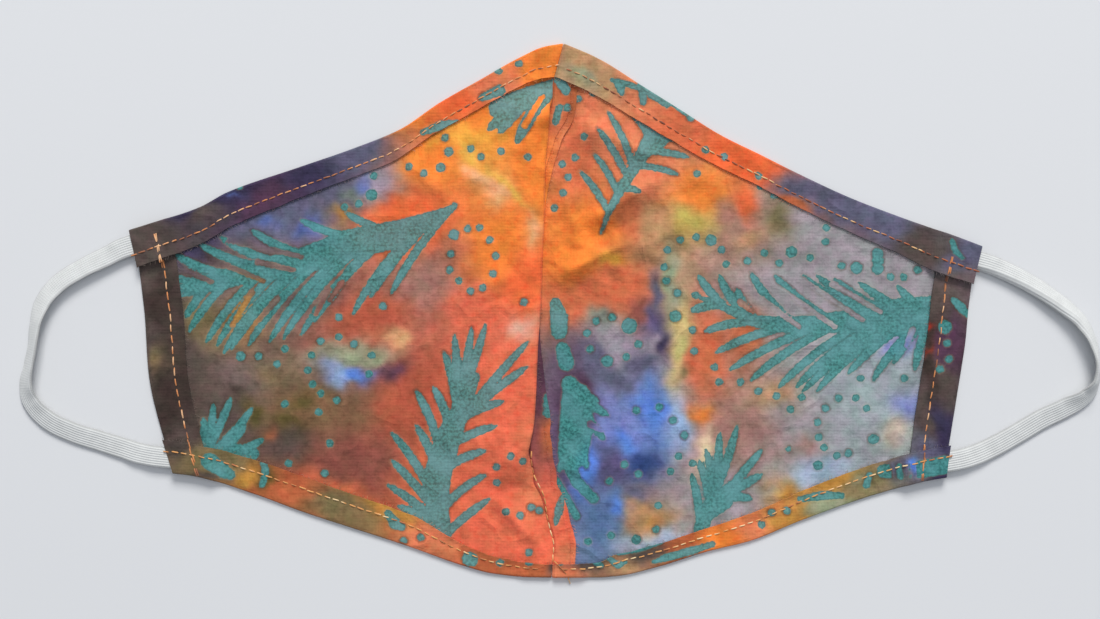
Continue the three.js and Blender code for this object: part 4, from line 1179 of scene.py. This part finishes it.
white_elastic = knitted_elastic()
dark_cloth_thread = sewing_thread("thread_on_dark", main=(0.68, 0.26, 0.09, 1),
                                  pale=(0.82, 0.48, 0.26, 1), dark=(0.32, 0.12, 0.06, 1))
warm_cloth_thread = sewing_thread("thread_on_warm", main=(0.42, 0.12, 0.05, 1),
                                  pale=(0.74, 0.46, 0.22, 1), dark=(0.22, 0.07, 0.04, 1))
low_thread = sewing_thread("thread_at_the_chin", main=(0.72, 0.34, 0.11, 1),
                           pale=(0.85, 0.62, 0.34, 1), dark=(0.45, 0.16, 0.06, 1))
for piece, sheet in ([(left_panel, "left"), (right_panel, "right")]
                     + [(strip, "seam") for strip in seam_strips]
                     + [(one, "hem") for one in hems]):
    piece.data.materials.append(cottons[sheet])
for piece in (left_elastic, right_elastic):
    piece.data.materials.append(white_elastic)
print("materials:", len(bpy.data.materials))

# %% [markdown]
# ## Stitches
# A machine sews each hem with a straight stitch about 3 mm from the raw edge. Stitches repeat
# along a path, so one Geometry Nodes tree places them: it walks along the line at an even pitch,
# moves each place a little, and puts a short arched thread there. The lines are laid on the
# finished cloth by looking straight down at it. The bobbin thread shows on the underside.

# %% Look down at the cloth
def seen_from_above(pieces):
    vertices, faces, before = [], [], 0
    for piece in pieces:
        mesh = piece.data
        places = np.empty(len(mesh.vertices) * 3)
        mesh.vertices.foreach_get("co", places)
        corners = np.empty(len(mesh.loops), int)
        mesh.loops.foreach_get("vertex_index", corners)
        vertices += places.reshape(-1, 3).tolist()
        faces += (corners.reshape(-1, 4) + before).tolist()
        before += len(mesh.vertices)
    return BVHTree.FromPolygons(vertices, faces)


cloth_tree = seen_from_above([left_panel, right_panel] + seam_strips + hems)


look_from = 0.03


def laid(line, above):
    """Put a line of (x, y) places on the cloth, in millimetres"""
    heights = []
    for x, y in line:
        hit = cloth_tree.ray_cast(Vector((x * MM, y * MM, look_from)), Vector((0, 0, -1)))[0]
        heights.append(hit.z / MM if hit else (heights[-1] if heights else 0.5))
    return np.column_stack([line, np.array(heights) + above])


def evenly(line, step=0.6):
    """Places at an even step along a line of few places, without sharp corners"""
    line = np.array(line, float)
    way = way_along(line)
    at = np.linspace(0, way[-1], max(round(way[-1] / step), 3) + 1)
    return np.stack([smooth_line(list(zip(way, column)))(at) for column in line.T], -1)


# %% Geometry Nodes tools
def new_tree(name, values):
    """A modifier tree with geometry and named sizes as inputs"""
    tree = bpy.data.node_groups.new(name, "GeometryNodeTree")
    tree.is_modifier = True
    tree.interface.new_socket("Geometry", in_out="INPUT", socket_type="NodeSocketGeometry")
    for key, value in values.items():
        socket = tree.interface.new_socket(key, in_out="INPUT", socket_type="NodeSocketFloat")
        socket.default_value = value
    tree.interface.new_socket("Material", in_out="INPUT", socket_type="NodeSocketMaterial")
    tree.interface.new_socket("Geometry", in_out="OUTPUT", socket_type="NodeSocketGeometry")
    return tree, tree.nodes.new("NodeGroupInput").outputs


def close_tree(tree, geometry, material):
    smooth = node(tree, "GeometryNodeSetShadeSmooth", {}, {"Geometry": geometry})
    dressed = node(tree, "GeometryNodeSetMaterial", {}, {"Geometry": smooth,
                                                         "Material": material})
    output = tree.nodes.new("NodeGroupOutput")
    tree.links.new(dressed, output.inputs["Geometry"])


def random_between(tree, low, high, seed):
    """Random number, or random vector where low and high are vectors"""
    vector = isinstance(low, tuple)
    first = 0 if vector else 2
    return node(tree, "FunctionNodeRandomValue",
                {"data_type": "FLOAT_VECTOR" if vector else "FLOAT"},
                {first: low, first + 1: high, 8: seed}, 0 if vector else 1)


# %% Parts that the trees share
def part_of(tree, length, share):
    return sums(tree, "MULTIPLY", length, share)


def scaled(tree, push, by):
    return node(tree, "ShaderNodeVectorMath", {"operation": "SCALE"}, {0: push, "Scale": by})


def bowed_line(tree, steps, start, middle, end):
    """A line of a few steps that bows. Its three places are given by their X, Y and Z."""
    start, middle, end = [node(tree, "ShaderNodeCombineXYZ", {}, place)
                          for place in (start, middle, end)]
    return node(tree, "GeometryNodeCurveQuadraticBezier", {},
                {"Resolution": steps, "Start": start, "Middle": middle, "End": end})


def even_places(tree, size, step):
    """Places at an even step along the line that the tree runs on"""
    path = node(tree, "GeometryNodeMeshToCurve", {}, {"Mesh": size["Geometry"]})
    return node(tree, "GeometryNodeResampleCurve", {"mode": "LENGTH"},
                {"Curve": path, "Length": size[step]})


def round_thread(tree, size, path, sides):
    ring = node(tree, "GeometryNodeCurvePrimitiveCircle", {},
                {"Resolution": sides, "Radius": part_of(tree, size["Thickness"], 0.5)})
    return node(tree, "GeometryNodeCurveToMesh", {},
                {"Curve": path, "Profile Curve": ring, "Fill Caps": True})


def turned_along(tree, way, chance):
    """A turn that lays X along a way, and then turns by chance angles"""
    turn = node(tree, "FunctionNodeAlignRotationToVector", {"axis": "X", "pivot_axis": "Z"},
                {"Vector": way})
    chance = node(tree, "FunctionNodeEulerToRotation", {}, {"Euler": chance})
    return node(tree, "FunctionNodeRotateRotation", {"rotation_space": "LOCAL"},
                {"Rotation": turn, "Rotate By": chance})


def put_many(tree, size, places, one, turn, smallest, largest):
    """Put one thing at every place, each at its own size, and end the tree"""
    own_size = random_between(tree, smallest, largest, sums(tree, "ADD", size["Seed"], 2.0))
    many = node(tree, "GeometryNodeInstanceOnPoints", {},
                {"Points": places, "Instance": one, "Rotation": turn, "Scale": own_size})
    whole = node(tree, "GeometryNodeRealizeInstances", {}, {"Geometry": many})
    close_tree(tree, whole, size["Material"])
    return tree


# %% Run a tree
def grow(name, lines, tree, values, material, vectors=None, colours=None):
    """Run a tree on lines of places in millimetres and keep its result as a plain mesh"""
    places = np.concatenate(lines) * MM
    edges, before = [], 0
    for line in lines:
        edges += [(before + i, before + i + 1) for i in range(len(line) - 1)]
        before += len(line)
    mesh = bpy.data.meshes.new(name)
    mesh.from_pydata(places.tolist(), edges, [])
    if vectors is not None:
        store(mesh, "out", "FLOAT_VECTOR", "vector", vectors)
        store(mesh, "dye", "FLOAT_COLOR", "color", colours)
    piece = bpy.data.objects.new(name, mesh)
    bpy.context.collection.objects.link(piece)
    modifier = piece.modifiers.new(tree.name, "NODES")
    modifier.node_group = tree
    for item in tree.interface.items_tree:
        if item.in_out == "INPUT" and item.name in values:
            modifier[item.identifier] = values[item.name]
        if item.in_out == "INPUT" and item.name == "Material":
            modifier[item.identifier] = material
    piece.update_tag()
    bpy.context.view_layer.update()
    ready = piece.evaluated_get(bpy.context.evaluated_depsgraph_get())
    made = bpy.data.meshes.new_from_object(ready)
    piece.modifiers.clear()
    piece.data = made
    made.name = name
    return piece


# %% The stitch line
def stitch_line_tree():
    tree, size = new_tree("stitch_line", {"Pitch": 2.4 * MM, "Length": 1.7 * MM,
                                          "Thickness": 0.42 * MM, "Arch": 0.18 * MM,
                                          "Wander": 0.1 * MM, "Sway": 1, "Seed": 1})
    push = scaled(tree, random_between(tree, (-1, -1, -0.2), (1, 1, 0.2), size["Seed"]),
                  size["Wander"])
    moved = node(tree, "GeometryNodeSetPosition", {},
                 {"Geometry": even_places(tree, size, "Pitch"), "Offset": push})
    half, low = part_of(tree, size["Length"], 0.5), part_of(tree, size["Arch"], -1.0)
    arch = bowed_line(tree, 5, {"X": part_of(tree, half, -1.0), "Z": low},
                      {"Z": part_of(tree, size["Arch"], 2.0)}, {"X": half, "Z": low})
    wobble = random_between(tree, (0, -0.06, -0.1), (0, 0.06, 0.1),
                            sums(tree, "ADD", size["Seed"], 1.0))
    turn = turned_along(tree, node(tree, "GeometryNodeInputTangent"),
                        scaled(tree, wobble, size["Sway"]))
    return put_many(tree, size, moved, round_thread(tree, size, arch, 6), turn, 0.82, 1.12)


# %% Sew the hems and the chin's end of the seam
stitches = stitch_line_tree()
stitch_length, bobbin_length, bobbin_thickness = 1.7, 2.0, 0.12
under_height = 0.09
centre_stitches = [(-7, -41.2), (-6.5, -46), (-5, -49.5), (-3.3, -53.5), (-2.4, -59.3),
                   (-1.3, -63.6), (-0.6, -67.3), (-0.7, -71)]
# Hem: pitch, thread, how much longer its stitches are
sewn = {
    "left_top_hem": (2.35, dark_cloth_thread, 1.0),
    "right_top_hem": (2.35, warm_cloth_thread, 1.0),
    "left_bottom_hem": (2.5, low_thread, 1.0),
    "right_bottom_hem": (2.5, low_thread, 1.0),
    "left_side_hem": (3.1, dark_cloth_thread, 1.25),
    "right_side_hem": (3.1, dark_cloth_thread, 1.25),
}
threads = []
for number, (name, (pitch, thread, longer)) in enumerate(sewn.items()):
    line = evenly(stitch_lines[name][::8])
    lines = [laid(line, 0.05)]
    if "side" in name:
        # The machine goes back over its last stitches at both ends
        aside = np.array([0.35, 0.2])
        lines += [laid(line[:14] + aside, 0.1), laid(line[-14:] - aside, 0.1)]
    sizes = {"Pitch": pitch * MM, "Length": stitch_length * longer * MM,
             "Seed": 3.0 + 5 * number}
    threads.append(grow(name + "_stitches", lines, stitches, sizes, thread))
    flat_line = np.column_stack([line, np.full(len(line), under_height)])
    sizes = {"Pitch": pitch * MM, "Length": bobbin_length * longer * MM,
             "Thickness": bobbin_thickness * MM, "Arch": 0.0, "Wander": 0.0, "Sway": 0.0,
             "Seed": 4.0 + 5 * number}
    threads.append(grow(name + "_bobbin", [flat_line], stitches, sizes, thread))
seam_line = laid(evenly(centre_stitches), 0.04)
threads.append(grow("centre_seam_stitches", [seam_line], stitches,
                    {"Pitch": 2.3 * MM, "Length": 1.8 * MM, "Seed": 51.0}, low_thread))
print("stitches:", {one.name: len(one.data.polygons) for one in threads})

# %% [markdown]
# ## Frayed edges and a thread end
# The raw edges were cut with scissors and never neatened, so short cotton fibres stand out of
# them. A second tree puts one small bent fibre at each place along an edge, turned by chance
# about the way out of it. The fibres carry the dye of the cloth they come from.

# %% The frayed edge
def frayed_edge_tree():
    tree, size = new_tree("frayed_edge", {"Spacing": 0.8 * MM, "Length": 0.9 * MM,
                                          "Thickness": 0.07 * MM, "Seed": 1})
    long = size["Length"]
    line = bowed_line(tree, 3, {},
                      {"X": part_of(tree, long, 0.5), "Y": part_of(tree, long, 0.25)},
                      {"X": long, "Z": part_of(tree, long, 0.1)})
    out = node(tree, "GeometryNodeInputNamedAttribute", {"data_type": "FLOAT_VECTOR"},
               {"Name": "out"})
    chance = random_between(tree, (-1.5, -0.12, -1.15), (1.5, 0.04, 1.15), size["Seed"])
    return put_many(tree, size, even_places(tree, size, "Spacing"),
                    round_thread(tree, size, line, 3), turned_along(tree, out, chance), 0.3, 1.35)


def fibre_cotton():
    material, tree, shader = new_material("cotton_fibre", 0.9, 0.2, 0.1)
    dye = node(tree, "ShaderNodeAttribute", {"attribute_name": "dye"}, output="Color")
    finish(tree, shader, blend(tree, 0.25, dye, (0.62, 0.5, 0.4, 1)))
    return material


# %% Fray every raw edge
frayed_edge, cotton_fibre = frayed_edge_tree(), fibre_cotton()
fringes = []
for number, (name, line) in enumerate(raw_lines.items()):
    # A hem's raw edge faces the middle of the mask, and the seam's edges face right
    edge = line[:, :2]
    sheet, out = ("seam", [1, 0]) if "seam" in name else (name.split("_")[0] + "_hem", -edge)
    along = np.gradient(edge, axis=0)
    across = np.stack([-along[:, 1], along[:, 0]], -1)
    across *= np.sign((across * out).sum(1))[:, None]
    across /= np.linalg.norm(across, axis=1, keepdims=True)
    fringes.append(grow(name + "_fray", [line], frayed_edge, {"Seed": 70.0 + number},
                        cotton_fibre, np.column_stack([across, np.zeros(len(line))]),
                        bleed(edge, sheet)))
print("fibres:", sum(len(one.data.polygons) for one in fringes), "faces")


# %% Thread end at the chin
def thread_tree():
    tree, size = new_tree("thread", {"Thickness": 0.3 * MM})
    path = node(tree, "GeometryNodeMeshToCurve", {}, {"Mesh": size["Geometry"]})
    close_tree(tree, round_thread(tree, size, path, 6), size["Material"])
    return tree


tail_places = [(-0.4, -71.6, 2.0), (1.4, -73.4, 2.2), (3.2, -75.6, 1.8), (4.2, -78.3, 0.4)]
thread_end = grow("thread_end", [evenly(tail_places, 0.3)], thread_tree(), {}, low_thread)
print("thread end:", len(thread_end.data.polygons), "faces")

# %% [markdown]
# ## What each piece stands for
# Each dressed piece takes the place of one solid. The two panels are the sheets of cloth, with
# their hems, stitches and fringes on them.

panel_of = {"left": left_panel, "right": right_panel}
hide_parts("seam_allowance")
for side, panel in panel_of.items():
    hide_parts(side + "_panel")
for piece in [left_panel, right_panel, thread_end] + seam_strips + threads + fringes:
    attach(piece, "root")

# %% Table
table_mesh = bpy.data.meshes.new("table_top")
table_size = 3
corners = [(x * table_size, y * table_size, 0) for x, y in ((-1, -1), (1, -1), (1, 1), (-1, 1))]
table_mesh.from_pydata(corners, [], [(0, 1, 2, 3)])
table_mesh.materials.append(pale_table())
table = bpy.data.objects.new("table_top", table_mesh)
bpy.context.collection.objects.link(table)
